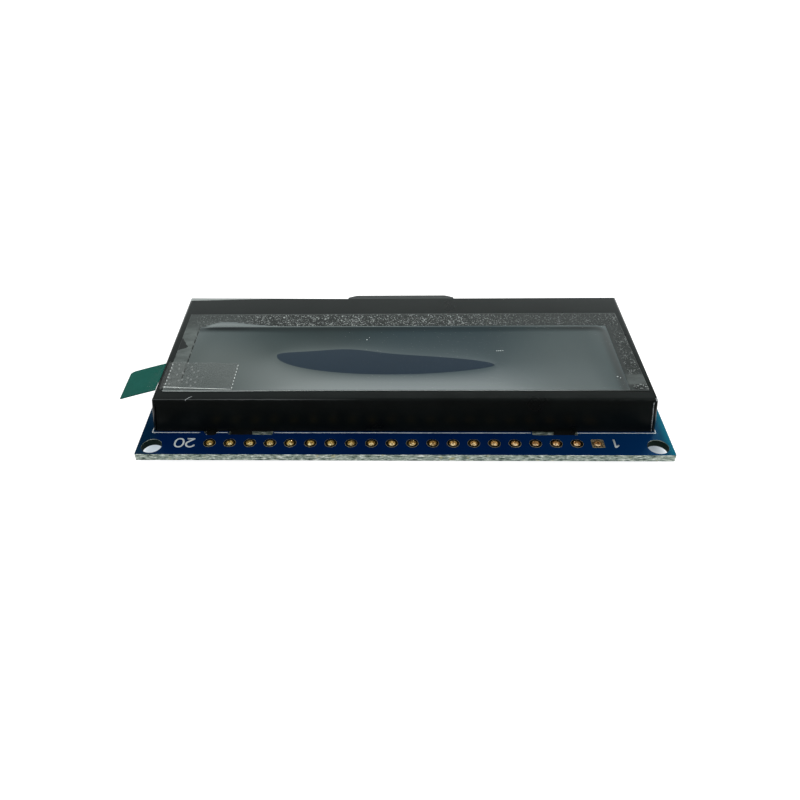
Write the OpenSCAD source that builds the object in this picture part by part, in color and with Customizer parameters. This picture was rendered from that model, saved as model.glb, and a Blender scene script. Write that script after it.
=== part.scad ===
// Small graphic LCD module: a blue circuit board with a 20-hole header row, and a folded black
// steel bezel that clamps the display glass and its edge-lit backlight onto the board.
// The protective film and its pull tab are still on the window.
// Frame: origin at the middle of the four mounting holes, on the board's back face.
// X runs along the header row towards hole 1, Y from the header edge to the far edge, Z out of the display.

/* [Board] */
// Width of the circuit board, along the header row
board_w = 66.3; // [58:0.1:90]
// Depth of the circuit board, from the header edge to the far edge
board_d = 32.8; // [29:0.1:45]
// Thickness of the circuit board
board_t = 1.0; // [0.8:0.1:1.6]
// Radius of the board's corners
board_corner_r = 0.1; // [0.05:0.05:1]
// Diameter of the four mounting holes
mount_hole_d = 2.6; // [1.6:0.1:2.8]
// Distance of the mounting holes from the board's side edges
mount_inset_x = 1.8; // [1.6:0.05:2.1]
// Distance of the mounting holes from the board's front and back edges
mount_inset_y = 1.55; // [1.5:0.05:2.1]

/* [Header row] */
// Number of plated header holes
pin_count = 20; // [4:1:20]
// Spacing of the header holes
pin_pitch = 2.54; // [2:0.01:2.6]
// Finished diameter of a plated header hole
pin_hole_d = 0.9; // [0.6:0.05:1.1]
// Wall of the copper plating inside a header hole
plating_t = 0.12; // [0.05:0.01:0.15]
// Width of the header pads
pad_d = 1.55; // [1.45:0.05:1.9]
// Height of the header pads above the board
pad_t = 0.04; // [0.02:0.01:0.1]
// Distance of the header row from the front edge
header_inset = 2.1; // [1.6:0.05:2.4]

/* [Bezel] */
// Width of bare board at each side of the bezel
side_strip = 1.95; // [1:0.05:6]
// Depth of bare board in front of the bezel, where the header row is
front_strip = 4.35; // [4:0.05:8]
// Depth of bare board behind the bezel
back_strip = 4.05; // [3:0.05:8]
// Height of the bezel above the board
bezel_h = 5.1; // [4.6:0.1:8]
// Thickness of the bezel's sheet steel
sheet_t = 0.4; // [0.3:0.05:0.5]
// Inside radius of the bezel's folds
inner_fold_r = 0.05; // [0.02:0.01:0.4]
// Radius of the bezel's upright corners
bezel_corner_r = 0.5; // [0.1:0.05:0.7]
// Width of the bezel's border at each side of the window
window_side = 3.1; // [2.5:0.05:6]
// Width of the bezel's border in front of the window
window_border = 2.0; // [1.8:0.1:4]
// Width of the bezel's border behind the window, over the driver chip
window_rear = 7.9; // [7:0.1:9]
// Radius of the window's corners
window_r = 0.5; // [0.2:0.1:1.5]
// Width of the open seams at the bezel's corners
seam_w = 0.12; // [0.05:0.01:0.3]
// Width of the bulge's outer face, at the back of the bezel
bulge_w = 11.5; // [11.4:0.1:20]
// Sideways run of each slanted end of the bulge
bulge_run = 1.95; // [0.5:0.05:3]
// How far the bulge stands out from the bezel's back
bulge_out = 0.9; // [0.85:0.05:1.5]

/* [Bezel tabs and board slots] */
// Distance of the slots' middles from the board's middle
slot_x = 19.2; // [14:0.1:20]
// Length of a slot
slot_l = 5.7; // [4:0.1:6.5]
// Width of a slot
slot_w = 1.1; // [1:0.05:1.6]
// Radius of a slot's corners
slot_r = 0.2; // [0.1:0.05:0.45]
// Gap between a fixing tab and the inner side of its slot
slot_clear = 0.05; // [0.03:0.01:0.15]
// Width of a fixing tab
tab_w = 2.6; // [1.5:0.1:3]
// Gap between a fixing tab and the outer end of its slot
tab_end_gap = 0.25; // [0.2:0.05:0.8]
// How far the fixing tabs reach below the board
tab_drop = 1.1; // [0.9:0.1:1.6]
// Angle through which the fixing tabs' ends are twisted
tab_twist = 40; // [15:1:60]
// Distance of the locating tab from the board's middle
key_x = 24.3; // [23.8:0.1:27]
// Width of the locating tab
key_w = 1.4; // [0.8:0.1:1.6]
// Diameter of the locating tab's hole
key_hole_d = 2.0; // [1.8:0.1:2.2]

/* [Display cell] */
// Thickness of each sheet of display glass
glass_t = 0.7; // [0.4:0.05:0.9]
// Depth of the glass ledge that carries the driver chip
ledge_d = 4.7; // [4:0.1:5]
// Thickness of each polariser
polarizer_t = 0.2; // [0.1:0.02:0.25]
// Distance of the polarisers from the front glass's edges
polarizer_inset = 0.4; // [0.3:0.05:0.6]
// Length of the driver chip
chip_l = 10; // [6:0.5:16]
// Width of the driver chip
chip_w = 1.2; // [0.8:0.1:1.6]
// Height of the driver chip
chip_h = 0.5; // [0.3:0.05:0.6]
// Distance of the driver chip behind the front glass
chip_gap = 1.0; // [0.5:0.1:1.2]

/* [Flex tail] */
// Width of the flex tail
flex_w = 10.5; // [8:0.5:10.5]
// Thickness of the flex tail
flex_t = 0.12; // [0.08:0.01:0.2]
// Bend radius at the middle of the flex tail
flex_bend_r = 0.45; // [0.3:0.05:0.5]
// Length of the flex tail that is bonded to the glass ledge
flex_bond = 1.5; // [0.8:0.1:1.6]
// Length of the flex tail that lies under the board
flex_foot = 3.5; // [2:0.1:5]
// Number of solder joints along the flex tail's end
joint_count = 12; // [4:1:12]
// Spacing of the flex tail's solder joints
joint_pitch = 0.9; // [0.6:0.05:0.9]
// Width of a flex solder joint
joint_w = 0.5; // [0.3:0.05:0.55]
// Length of a flex solder joint
joint_l = 1.0; // [0.6:0.1:1.5]

/* [Backlight] */
// Thickness of the double-sided tape under the backlight
bond_t = 0.1; // [0.05:0.01:0.2]
// Thickness of the reflector film
reflector_t = 0.1; // [0.05:0.01:0.2]
// Thickness of the diffuser film
diffuser_t = 0.2; // [0.1:0.02:0.3]
// Thickness of the backlight frame's lip around the glass
lip_t = 0.5; // [0.35:0.05:0.7]
// Height of the backlight frame's lip beside the glass
lip_h = 0.6; // [0.3:0.05:0.65]
// Width of the ribs under the backlight frame's back rail
rib_t = 0.8; // [0.5:0.1:1.5]
// Number of hollows under the backlight frame's back rail
hollow_count = 5; // [2:1:8]
// Number of light-emitting diodes
led_count = 4; // [1:1:4]
// Spacing of the diodes
led_pitch = 3.3; // [2.5:0.1:3.4]
// Width of a diode
led_w = 2.2; // [1.2:0.1:2.3]
// Height of a diode
led_h = 1.2; // [0.6:0.1:1.5]
// Depth of a diode
led_depth = 0.8; // [0.5:0.05:0.9]
// Length of the diodes' circuit strip past its end diodes
led_board_margin = 0.45; // [0.2:0.05:0.8]
// Thickness of the diodes' circuit strip
led_board_t = 0.5; // [0.3:0.05:0.6]
// Spacing of the two backlight leads
lead_spacing = 5.08; // [3:0.01:8]
// Width of a backlight lead
lead_w = 0.5; // [0.3:0.05:0.55]
// Thickness of a backlight lead
lead_t = 0.3; // [0.2:0.05:0.35]
// How far the backlight leads reach below the board
lead_out = 0.7; // [0.6:0.05:0.8]
// Diameter of the board's holes for the backlight leads
lead_hole_d = 0.9; // [0.8:0.05:1]

/* [Small parts on the back] */
// Number of chip capacitors
capacitor_count = 8; // [1:1:9]
// Spacing of the chip capacitors
capacitor_pitch = 2.8; // [1.5:0.1:2.8]
// Height of a chip capacitor
capacitor_h = 0.8; // [0.4:0.05:0.85]
// Number of chip resistors
resistor_count = 3; // [1:1:5]
// Spacing of the chip resistors
resistor_pitch = 2.2; // [1.5:0.1:2.4]
// Height of a chip resistor
resistor_h = 0.45; // [0.3:0.05:0.6]
// Length of a chip capacitor or resistor
chip_part_l = 1.6; // [1:0.1:2]
// Width of a chip capacitor or resistor
chip_part_w = 0.8; // [0.5:0.05:1.2]
// Length of a chip part's metal end
chip_end_l = 0.35; // [0.2:0.05:0.4]
// How far a chip part's metal ends stand out from its body
chip_end_step = 0.03; // [0.01:0.01:0.05]

/* [Protective film and pull tab] */
// Distance of the film's sides from the bezel's sides
film_side = 1.1; // [0.7:0.05:2]
// Distance of the film's front edge in front of the window
film_front_lap = 0.3; // [0.1:0.05:1]
// Distance of the film's back edge behind the window
film_back_lap = 3.25; // [1:0.05:6]
// Thickness of the protective film
film_t = 0.08; // [0.05:0.01:0.12]
// Gap left between the film, where it sags most, and the polariser
film_clear = 0.03; // [0.02:0.01:0.2]
// Thickness of the clear tape
tape_t = 0.05; // [0.03:0.01:0.1]
// Distance that the clear tape reaches in from the bezel's left side
tape_l = 9.85; // [5:0.05:20]
// Width of the clear tape and the pull tab
tape_w = 5.8; // [4:0.1:10]
// Distance of the clear tape behind the film's front edge
tape_inset = 0.35; // [0.1:0.05:4]
// Length of the clear tape that holds the pull tab
tab_lap = 1.2; // [0.6:0.1:3]
// Length of the pull tab
pull_l = 5.0; // [3:0.1:20]
// Thickness of the pull tab
pull_t = 0.08; // [0.05:0.01:0.15]
// Radius of the pull tab's outer corners
pull_r = 0.5; // [0.2:0.1:2]
// Angle at which the pull tab droops
pull_droop = 17; // [5:1:25]

/* [Fits] */
// Gap between the bezel's walls and the backlight frame
frame_clear = 0.15; // [0.05:0.01:0.25]
// Gap between the display glass and the backlight frame's lip
glass_clear = 0.1; // [0.02:0.01:0.15]
// Gap between the front polariser and the bezel
cell_clear = 0.1; // [0.02:0.01:0.2]
// Gap between the rear polariser and the diffuser
diffuser_clear = 0.1; // [0.02:0.01:0.2]
// Gap around the light guide, the diodes and the films in the backlight frame
guide_clear = 0.05; // [0.02:0.01:0.1]
// Gap around the flex tail where it passes through the board
flex_clear = 0.05; // [0.02:0.01:0.1]
// Gap at each side of the flex tail in its slot
flex_side_clear = 0.35; // [0.2:0.05:0.4]
// Gap between the film and the clear tape that lies on it
tape_clear = 0.05; // [0.03:0.01:0.08]
// Gap between the clear tape and the pull tab under it
tab_clear = 0.01; // [0.005:0.005:0.05]

/* [Hidden] */
$fn = 48;
// Extra length that carries a cutter past the face it opens
cut = 0.5;
sides = [-1, 1];

// Board and header
header_y = -board_d / 2 + header_inset;
mount_x = board_w / 2 - mount_inset_x;
mount_y = board_d / 2 - mount_inset_y;
drill_d = pin_hole_d + 2 * plating_t;

// Bezel, set between the bare strips of the board
bezel_w = board_w - 2 * side_strip;
bezel_d = board_d - front_strip - back_strip;
bezel_y = (front_strip - back_strip) / 2;
bezel_top = board_t + bezel_h;
bezel_under = bezel_top - sheet_t;
inner_w = bezel_w - 2 * sheet_t;
inner_d = bezel_d - 2 * sheet_t;
fold_r = inner_fold_r + sheet_t;
wall_y = bezel_d / 2 - sheet_t / 2;
// The slots stand outwards from the walls, so that the tabs can be set from outside
slot_y = bezel_d / 2 - sheet_t - slot_clear + slot_w / 2;
window_w = bezel_w - 2 * window_side;
window_d = bezel_d - window_border - window_rear;
window_front = -bezel_d / 2 + window_border;
window_back = window_front + window_d;
window_y = (window_front + window_back) / 2;
tab_x = slot_x + (slot_l - tab_w) / 2 - tab_end_gap;
tab_steps = 6;
tab_corners = 4;
// The locating tab stops this far above the board's back
key_short = 0.2;

// Display cell, stacked downwards from the bezel
front_polarizer_z = bezel_under - cell_clear - polarizer_t;
front_glass_z = front_polarizer_z - glass_t;
rear_glass_z = front_glass_z - glass_t;
rear_polarizer_z = rear_glass_z - polarizer_t;
frame_w = inner_w - 2 * frame_clear;
frame_d = inner_d - 2 * frame_clear;
cell_w = frame_w - 2 * (lip_t + glass_clear);
cell_d = frame_d - 2 * (lip_t + glass_clear);
cell_front = -cell_d / 2;
cell_back = cell_d / 2;
front_glass_back = cell_back - ledge_d;
polarizer_w = cell_w - 2 * polarizer_inset;
polarizer_front = cell_front + polarizer_inset;
polarizer_back = front_glass_back - polarizer_inset;

// Backlight, stacked upwards from the board
frame_z = board_t + bond_t;
guide_z = frame_z + reflector_t;
diffuser_z = rear_polarizer_z - diffuser_clear - diffuser_t;
led_board_l = (led_count - 1) * led_pitch + led_w + 2 * led_board_margin;
led_board_right = frame_w / 2 - lip_t - guide_clear;
led_right = led_board_right - led_board_t;
led_left = led_right - led_depth;
guide_left = -polarizer_w / 2;
guide_right = led_left - guide_clear;
guide_front = polarizer_front;
guide_back = polarizer_back - polarizer_inset;
lead_x = led_board_right - led_board_t / 2;
// Depth of the solid skin above the hollows under the back rail
rail_skin = 0.8;

// Flex tail, dropping behind the backlight frame inside the bulge
bulge_inner = bezel_d / 2 + bulge_out - sheet_t;
flex_y = (frame_d / 2 + bulge_inner) / 2;
flex_top = front_glass_z + flex_t / 2;
flex_low = -flex_t / 2;
flex_end = flex_y - flex_foot;
bend_steps = 8;

// Back-side parts, in rows set from the flex tail's joints and the front slots
row_gap = 1.2;
capacitor_y = flex_end - joint_l - row_gap - chip_part_l / 2;
resistor_y = -slot_y + slot_w / 2 + row_gap + chip_part_l / 2;

// Film and tape
film_left = -bezel_w / 2 + film_side;
film_front = window_front - film_front_lap;
film_back = window_back + film_back_lap;
// The film stays level this far inside the window's edges, then sags nearly to the polariser
film_level = 0.4;
film_sag = sheet_t + cell_clear - film_clear;
film_columns = 20;
film_rows = 8;
tape_front = film_front + tape_inset;
tape_back = tape_front + tape_w;
tape_right = -bezel_w / 2 + tape_l;
tape_turn = -bezel_w / 2 + fold_r;
tape_end = -bezel_w / 2 - tab_lap;
tape_columns = 8;
tape_rows = 4;
// Distance over which the tape bends from level to its droop, on the fold's own radius
turn_run = fold_r * tan(pull_droop);

// Moves its children from the bezel's middle, where they are drawn, to its place on the board
module at_bezel() {
    translate([0, bezel_y, 0]) children();
}

// Rectangle between two corners, as a solid
module block(low, high) {
    translate(low) cube(high - low);
}

// Flat plate with rounded corners, standing on z = 0
module plate(w, d, h, r) {
    linear_extrude(h) union() {
        square([w, d - 2 * r], center = true);
        square([w - 2 * r, d], center = true);
        for (x = sides, y = sides)
            translate([x * (w / 2 - r), y * (d / 2 - r)]) circle(r);
    }
}

// Upright section of a folded tray, square at its foot and round along its two top edges
module fold_profile(span, h, r) {
    union() {
        translate([-span / 2, 0]) square([span, h - r]);
        translate([-span / 2 + r, 0]) square([span - 2 * r, h]);
        for (s = sides)
            translate([s * (span / 2 - r), h - r]) circle(r);
    }
}

// Block with folds along its four top edges, mitred where they meet
module fold_block(w, d, h, r) {
    intersection() {
        rotate([90, 0, 0]) linear_extrude(d, center = true) fold_profile(w, h, r);
        rotate([90, 0, 90]) linear_extrude(w, center = true) fold_profile(d, h, r);
    }
}

// Bulge at the bezel's back, as a solid set in from the outer faces by a given distance
module bulge_block(inset, h, r) {
    slant = sqrt(bulge_run * bulge_run + bulge_out * bulge_out) / bulge_out;
    root = bulge_w / 2 + bulge_run - inset * slant;
    tip = root - bulge_run * (bulge_out - inset) / bulge_out;
    reach = bezel_d / 2 + bulge_out - inset;
    intersection() {
        linear_extrude(h) polygon([
            [-root, 0], [root, 0], [root, bezel_d / 2],
            [tip, reach], [-tip, reach], [-root, bezel_d / 2]
        ]);
        rotate([90, 0, 90]) linear_extrude(bezel_w, center = true) fold_profile(2 * reach, h, r);
    }
}

// Fixing tab: a straight neck through the board, with its end twisted to lock under it
module fixing_tab(turn) {
    translate([-tab_w / 2, -sheet_t / 2, 0]) cube([tab_w, sheet_t, board_t + cut]);
    translate([0, 0, -tab_drop]) rotate([0, 0, turn])
        linear_extrude(tab_drop, twist = turn, slices = tab_steps, segments = tab_corners)
            square([tab_w, sheet_t], center = true);
}

// Chip capacitor or resistor under the board, its length along Y
module chip_part(h) {
    w = chip_part_w - 2 * chip_end_step;
    translate([-w / 2, -chip_part_l / 2 + chip_end_step, -h + chip_end_step])
        cube([w, chip_part_l - 2 * chip_end_step, h - chip_end_step]);
    for (s = sides)
        translate([-chip_part_w / 2, s * (chip_part_l - chip_end_l) / 2 - chip_end_l / 2, -h])
            cube([chip_part_w, chip_end_l, h]);
}

// Points along an arc
function arc(c, r, a0, a1) =
    [for (i = [0:bend_steps]) let (a = a0 + (a1 - a0) * i / bend_steps) c + r * [cos(a), sin(a)]];

// Evenly spaced values from a to b
function spread(a, b, n) = [for (i = [0:n]) a + (b - a) * i / n];

// Smooth step from 0 to 1
function ease(t) = let (c = min(max(t, 0), 1)) c * c * (3 - 2 * c);

// Height of the film's underside: level on the bezel, and dished into the window
function film_z(x, y) =
    let (
        side = (window_w / 2 - film_level - abs(x)) / (window_d / 2),
        edge = (window_d / 2 - film_level - abs(y - window_y)) / (window_d / 2)
    )
    bezel_top - film_sag * ease(side) * ease(edge);

// Drop of the tape past the bezel's left fold: a short bend, then a straight droop
function droop(x) =
    let (d = max(tape_turn - x, 0))
    d < turn_run ? d * d / (2 * fold_r) : (d - turn_run / 2) * tan(pull_droop);

// Height of the tape's underside
function tape_z(x, y) = film_z(x, y) + film_t + tape_clear - droop(x);

// Thin sheet over a grid of places, between two surfaces given as lists of heights
module sheet(xs, ys, low, high) {
    nx = len(xs);
    ny = len(ys);
    n = nx * ny;
    points = concat(
        [for (j = [0:ny - 1], i = [0:nx - 1]) [xs[i], ys[j], low[j][i]]],
        [for (j = [0:ny - 1], i = [0:nx - 1]) [xs[i], ys[j], high[j][i]]]
    );
    cells = [for (j = [0:ny - 2], i = [0:nx - 2]) j * nx + i];
    under = [for (a = cells, t = [[a, a + 1, a + nx + 1], [a, a + nx + 1, a + nx]]) t];
    over = [for (t = under) [t[2] + n, t[1] + n, t[0] + n]];
    rim = concat(
        [for (i = [0:nx - 1]) i],
        [for (j = [1:ny - 1]) j * nx + nx - 1],
        [for (i = [nx - 2:-1:0]) (ny - 1) * nx + i],
        [for (j = [ny - 2:-1:1]) j * nx]
    );
    m = len(rim);
    edge = [
        for (k = [0:m - 1], b = [rim[(k + 1) % m]], a = [rim[k]], t = [[a, a + n, b + n], [a, b + n, b]]) t
    ];
    polyhedron(points, concat(under, over, edge), convexity = 4);
}

module circuit_board() {
    color("#0f2f66") difference() {
        plate(board_w, board_d, board_t, board_corner_r);
        for (x = sides, y = sides)
            translate([x * mount_x, y * mount_y, -cut]) cylinder(d = mount_hole_d, h = board_t + 2 * cut);
        for (i = [0:pin_count - 1])
            translate([header_hole_x(i), header_y, -cut]) cylinder(d = drill_d, h = board_t + 2 * cut);
        at_bezel() bezel_cuts();
    }
}

// What the bezel, the flex tail and the backlight leads need through the board
module bezel_cuts() {
    for (x = sides, y = sides)
        translate([x * slot_x, y * slot_y, -cut]) plate(slot_l, slot_w, board_t + 2 * cut, slot_r);
    translate([-key_x, -wall_y, -cut]) cylinder(d = key_hole_d, h = board_t + 2 * cut);
    block(
        [-flex_w / 2 - flex_side_clear, frame_d / 2 + flex_clear, -cut],
        [flex_w / 2 + flex_side_clear, bulge_inner - flex_clear, board_t + cut]
    );
    lead_places() translate([0, 0, -cut]) cylinder(d = lead_hole_d, h = board_t + 2 * cut);
}

// Place of header hole i along X, hole 0 being number 1 at the right
function header_hole_x(i) = ((pin_count - 1) / 2 - i) * pin_pitch;

// One plated hole with a pad on each face, square on hole number 1
module header_pad(square_pad) {
    difference() {
        union() {
            cylinder(d = drill_d, h = board_t);
            for (z = [-pad_t, board_t]) translate([0, 0, z]) {
                if (square_pad) translate([-pad_d / 2, -pad_d / 2, 0]) cube([pad_d, pad_d, pad_t]);
                else cylinder(d = pad_d, h = pad_t);
            }
        }
        translate([0, 0, -cut]) cylinder(d = pin_hole_d, h = board_t + 2 * cut);
    }
}

module header_pads() {
    color("#b98f3c")
        for (i = [0:pin_count - 1])
            translate([header_hole_x(i), header_y, 0]) header_pad(i == 0);
}

module bezel() {
    color("#1b1d1d") {
        difference() {
            translate([0, 0, board_t]) union() {
                intersection() {
                    fold_block(bezel_w, bezel_d, bezel_h, fold_r);
                    plate(bezel_w, bezel_d, bezel_h, bezel_corner_r);
                }
                bulge_block(0, bezel_h, fold_r);
            }
            translate([0, 0, board_t - cut]) union() {
                fold_block(inner_w, inner_d, bezel_h - sheet_t + cut, inner_fold_r);
                bulge_block(sheet_t, bezel_h - sheet_t + cut, inner_fold_r);
            }
            translate([0, window_y, bezel_under - cut]) plate(window_w, window_d, sheet_t + 2 * cut, window_r);
            for (x = sides, y = sides)
                translate([x * (inner_w - seam_w) / 2, y * wall_y, board_t])
                    cube([seam_w, sheet_t + 2 * cut, 2 * (bezel_h - fold_r - sheet_t)], center = true);
        }
        for (x = sides, y = sides)
            translate([x * tab_x, y * wall_y, 0]) fixing_tab(x * y * tab_twist);
        translate([-key_x - key_w / 2, -wall_y - sheet_t / 2, key_short])
            cube([key_w, sheet_t, board_t - key_short + cut]);
    }
}

module front_polarizer() {
    color("#2b3542") block(
        [-polarizer_w / 2, polarizer_front, front_polarizer_z],
        [polarizer_w / 2, polarizer_back, front_polarizer_z + polarizer_t]
    );
}

module front_glass() {
    color("#a9c4bf") block([-cell_w / 2, cell_front, front_glass_z], [cell_w / 2, front_glass_back, front_polarizer_z]);
}

module rear_glass() {
    color("#9dbab4") block([-cell_w / 2, cell_front, rear_glass_z], [cell_w / 2, cell_back, front_glass_z]);
}

module rear_polarizer() {
    color("#39424c") block(
        [-polarizer_w / 2, polarizer_front, rear_polarizer_z],
        [polarizer_w / 2, polarizer_back, rear_glass_z]
    );
}

module driver_chip() {
    color("#4a4d52") block(
        [-chip_l / 2, front_glass_back + chip_gap, front_glass_z],
        [chip_l / 2, front_glass_back + chip_gap + chip_w, front_glass_z + chip_h]
    );
}

// The tail leaves the glass ledge, bends down inside the bulge, passes through the board and turns under it
module flex_tail() {
    half = flex_t / 2;
    upper = [flex_y - flex_bend_r, flex_top - flex_bend_r];
    lower = [flex_y - flex_bend_r, flex_low + flex_bend_r];
    outline = concat(
        [[cell_back - flex_bond, flex_top + half]],
        arc(upper, flex_bend_r + half, 90, 0),
        arc(lower, flex_bend_r + half, 0, -90),
        [[flex_end, flex_low - half], [flex_end, flex_low + half]],
        arc(lower, flex_bend_r - half, -90, 0),
        arc(upper, flex_bend_r - half, 0, 90),
        [[cell_back - flex_bond, flex_top - half]]
    );
    color("#a8702a") rotate([90, 0, 90]) linear_extrude(flex_w, center = true) polygon(outline);
}

// Half-round beads that join the flex tail's end to the board
module flex_solder_joints() {
    color("#b9bcc0")
        for (i = [0:joint_count - 1])
            translate([(i - (joint_count - 1) / 2) * joint_pitch, flex_end, 0]) intersection() {
                rotate([90, 0, 0]) cylinder(d = joint_w, h = joint_l);
                block([-joint_w, -joint_l, -joint_w], [joint_w, 0, 0]);
            }
}

module diffuser_film() {
    color("#eef1ee") block([guide_left, guide_front, diffuser_z], [guide_right, guide_back, diffuser_z + diffuser_t]);
}

module light_guide() {
    color("#dfeaf0") block([guide_left, guide_front, guide_z], [guide_right, guide_back, diffuser_z]);
}

module reflector_film() {
    color("#f4f4f2") block([guide_left, guide_front, frame_z], [guide_right, guide_back, guide_z]);
}

// Moulded tray that holds the light guide, with a lip around the glass and a hollowed rail under its ledge
module backlight_frame() {
    rail_front = polarizer_back + guide_clear + rib_t;
    rail_back = frame_d / 2 - rib_t;
    pitch = (frame_w - rib_t) / hollow_count;
    color("#eceae2") difference() {
        block([-frame_w / 2, -frame_d / 2, frame_z], [frame_w / 2, frame_d / 2, rear_glass_z + lip_h]);
        block(
            [-cell_w / 2 - glass_clear, cell_front - glass_clear, rear_glass_z],
            [cell_w / 2 + glass_clear, cell_back + glass_clear, rear_glass_z + lip_h + cut]
        );
        block(
            [-polarizer_w / 2 - guide_clear, polarizer_front - guide_clear, rear_polarizer_z - diffuser_clear],
            [polarizer_w / 2 + guide_clear, polarizer_back + guide_clear, rear_glass_z + cut]
        );
        block(
            [guide_left - guide_clear, guide_front - guide_clear, frame_z - cut],
            [guide_right + guide_clear, guide_back + guide_clear, rear_glass_z + cut]
        );
        block(
            [guide_right, window_y - led_board_l / 2 - guide_clear, frame_z - cut],
            [led_board_right + guide_clear, window_y + led_board_l / 2 + guide_clear, rear_glass_z + cut]
        );
        for (i = [0:hollow_count - 1])
            block(
                [-frame_w / 2 + rib_t + i * pitch, rail_front, frame_z - cut],
                [-frame_w / 2 + (i + 1) * pitch, rail_back, rear_glass_z - rail_skin]
            );
    }
}

module led_board() {
    color("#dcded8") block(
        [led_right, window_y - led_board_l / 2, guide_z],
        [led_board_right, window_y + led_board_l / 2, diffuser_z]
    );
}

module backlight_leds() {
    middle = (guide_z + diffuser_z) / 2;
    color("#f2e6a2")
        for (i = [0:led_count - 1])
            translate([led_left, window_y + (i - (led_count - 1) / 2) * led_pitch - led_w / 2, middle - led_h / 2])
                cube([led_depth, led_w, led_h]);
}

// Puts its children at the two backlight leads
module lead_places() {
    for (s = sides)
        translate([lead_x, window_y + s * lead_spacing / 2, 0]) children();
}

module backlight_leads() {
    color("#c9ccd0") lead_places()
        translate([-lead_t / 2, -lead_w / 2, -lead_out]) cube([lead_t, lead_w, guide_z + lead_out]);
}

// Cones of solder round the leads, on the board's back
module lead_solder_joints() {
    tip_d = lead_w + lead_t;
    height = lead_out - lead_t / 2;
    color("#b9bcc0") lead_places() difference() {
        translate([0, 0, -height]) cylinder(d1 = tip_d, d2 = lead_hole_d + lead_w, h = height);
        translate([-lead_t / 2, -lead_w / 2, -lead_out]) cube([lead_t, lead_w, lead_out + cut]);
    }
}

module mounting_tape() {
    color("#d8d2bd") difference() {
        block([-frame_w / 2, -frame_d / 2, board_t], [frame_w / 2, frame_d / 2, frame_z]);
        lead_places() translate([0, 0, board_t - cut]) cylinder(d = lead_hole_d, h = bond_t + 2 * cut);
    }
}

module chip_capacitors() {
    color("#a98a62")
        for (i = [0:capacitor_count - 1])
            translate([(i - (capacitor_count - 1) / 2) * capacitor_pitch, capacitor_y, 0]) chip_part(capacitor_h);
}

module chip_resistors() {
    color("#26282b")
        for (i = [0:resistor_count - 1])
            translate([header_hole_x(pin_count - 1) + i * resistor_pitch, resistor_y, 0]) chip_part(resistor_h);
}

module protective_film() {
    sag_x = window_w / 2 - film_level;
    xs = concat([film_left], spread(-sag_x, sag_x, film_columns), [-film_left]);
    ys = concat([film_front], spread(window_front + film_level, window_back - film_level, film_rows), [film_back]);
    low = [for (y = ys) [for (x = xs) film_z(x, y)]];
    high = [for (y = ys) [for (x = xs) film_z(x, y) + film_t]];
    color("#7d8684") sheet(xs, ys, low, high);
}

module tab_tape() {
    xs = concat(
        [tape_end],
        spread(tape_turn - turn_run, tape_turn, 2),
        [for (i = [1:tape_columns]) tape_turn + (tape_right - tape_turn) * i / tape_columns]
    );
    ys = spread(tape_front, tape_back, tape_rows);
    low = [for (y = ys) [for (x = xs) tape_z(x, y)]];
    high = [for (y = ys) [for (x = xs) tape_z(x, y) + tape_t]];
    color("#9aa4a2") sheet(xs, ys, low, high);
}

// Green strip under the tape's free end, from just outside the bezel
module pull_tab() {
    root_x = -bezel_w / 2;
    root_z = bezel_top + film_t + tape_clear - droop(root_x) - tab_clear;
    color("#256254")
        translate([root_x, tape_front, root_z]) rotate([0, -pull_droop, 0])
            translate([-pull_l, 0, -pull_t]) linear_extrude(pull_t) union() {
                translate([pull_r, 0]) square([pull_l - pull_r, tape_w]);
                translate([0, pull_r]) square([pull_l, tape_w - 2 * pull_r]);
                for (y = [pull_r, tape_w - pull_r]) translate([pull_r, y]) circle(pull_r);
            }
}

circuit_board();
header_pads();
at_bezel() bezel();
at_bezel() front_polarizer();
at_bezel() front_glass();
at_bezel() rear_glass();
at_bezel() rear_polarizer();
at_bezel() driver_chip();
at_bezel() flex_tail();
at_bezel() flex_solder_joints();
at_bezel() diffuser_film();
at_bezel() light_guide();
at_bezel() reflector_film();
at_bezel() backlight_frame();
at_bezel() led_board();
at_bezel() backlight_leds();
at_bezel() backlight_leads();
at_bezel() lead_solder_joints();
at_bezel() mounting_tape();
at_bezel() chip_capacitors();
at_bezel() chip_resistors();
at_bezel() protective_film();
at_bezel() tab_tape();
at_bezel() pull_tab();
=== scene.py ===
# Graphic display module: the looks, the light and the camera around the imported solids.
# Lengths are in millimetres, and addMesh turns them to metres.
import math
from functools import partial

import bmesh
import bpy
import numpy as np
from mathutils import Matrix, Vector


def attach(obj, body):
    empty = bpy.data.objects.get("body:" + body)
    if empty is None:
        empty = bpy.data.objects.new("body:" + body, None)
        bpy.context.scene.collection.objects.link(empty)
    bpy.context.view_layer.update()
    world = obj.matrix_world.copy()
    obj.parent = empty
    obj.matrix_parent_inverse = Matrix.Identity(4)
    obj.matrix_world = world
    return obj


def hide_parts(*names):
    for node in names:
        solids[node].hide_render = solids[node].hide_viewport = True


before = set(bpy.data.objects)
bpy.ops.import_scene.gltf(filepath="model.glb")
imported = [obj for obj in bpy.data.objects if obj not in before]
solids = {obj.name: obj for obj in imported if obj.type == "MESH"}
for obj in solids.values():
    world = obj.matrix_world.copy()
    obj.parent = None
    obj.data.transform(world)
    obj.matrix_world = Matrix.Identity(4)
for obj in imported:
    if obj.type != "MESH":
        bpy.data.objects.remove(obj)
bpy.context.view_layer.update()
mm = 0.001
print("frame loaded with", len(solids), "solids")


def linearOf(value):
    # an sRGB hex value as the linear colour that a shader takes; anything else stays as it is
    if not isinstance(value, str):
        return value
    c = np.array([int(value[i:i + 2], 16) for i in (1, 3, 5)]) / 255
    linear = np.where(c <= 0.04045, c / 12.92, ((c + 0.055) / 1.055) ** 2.4)
    return (*linear.tolist(), 1.0)


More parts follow.
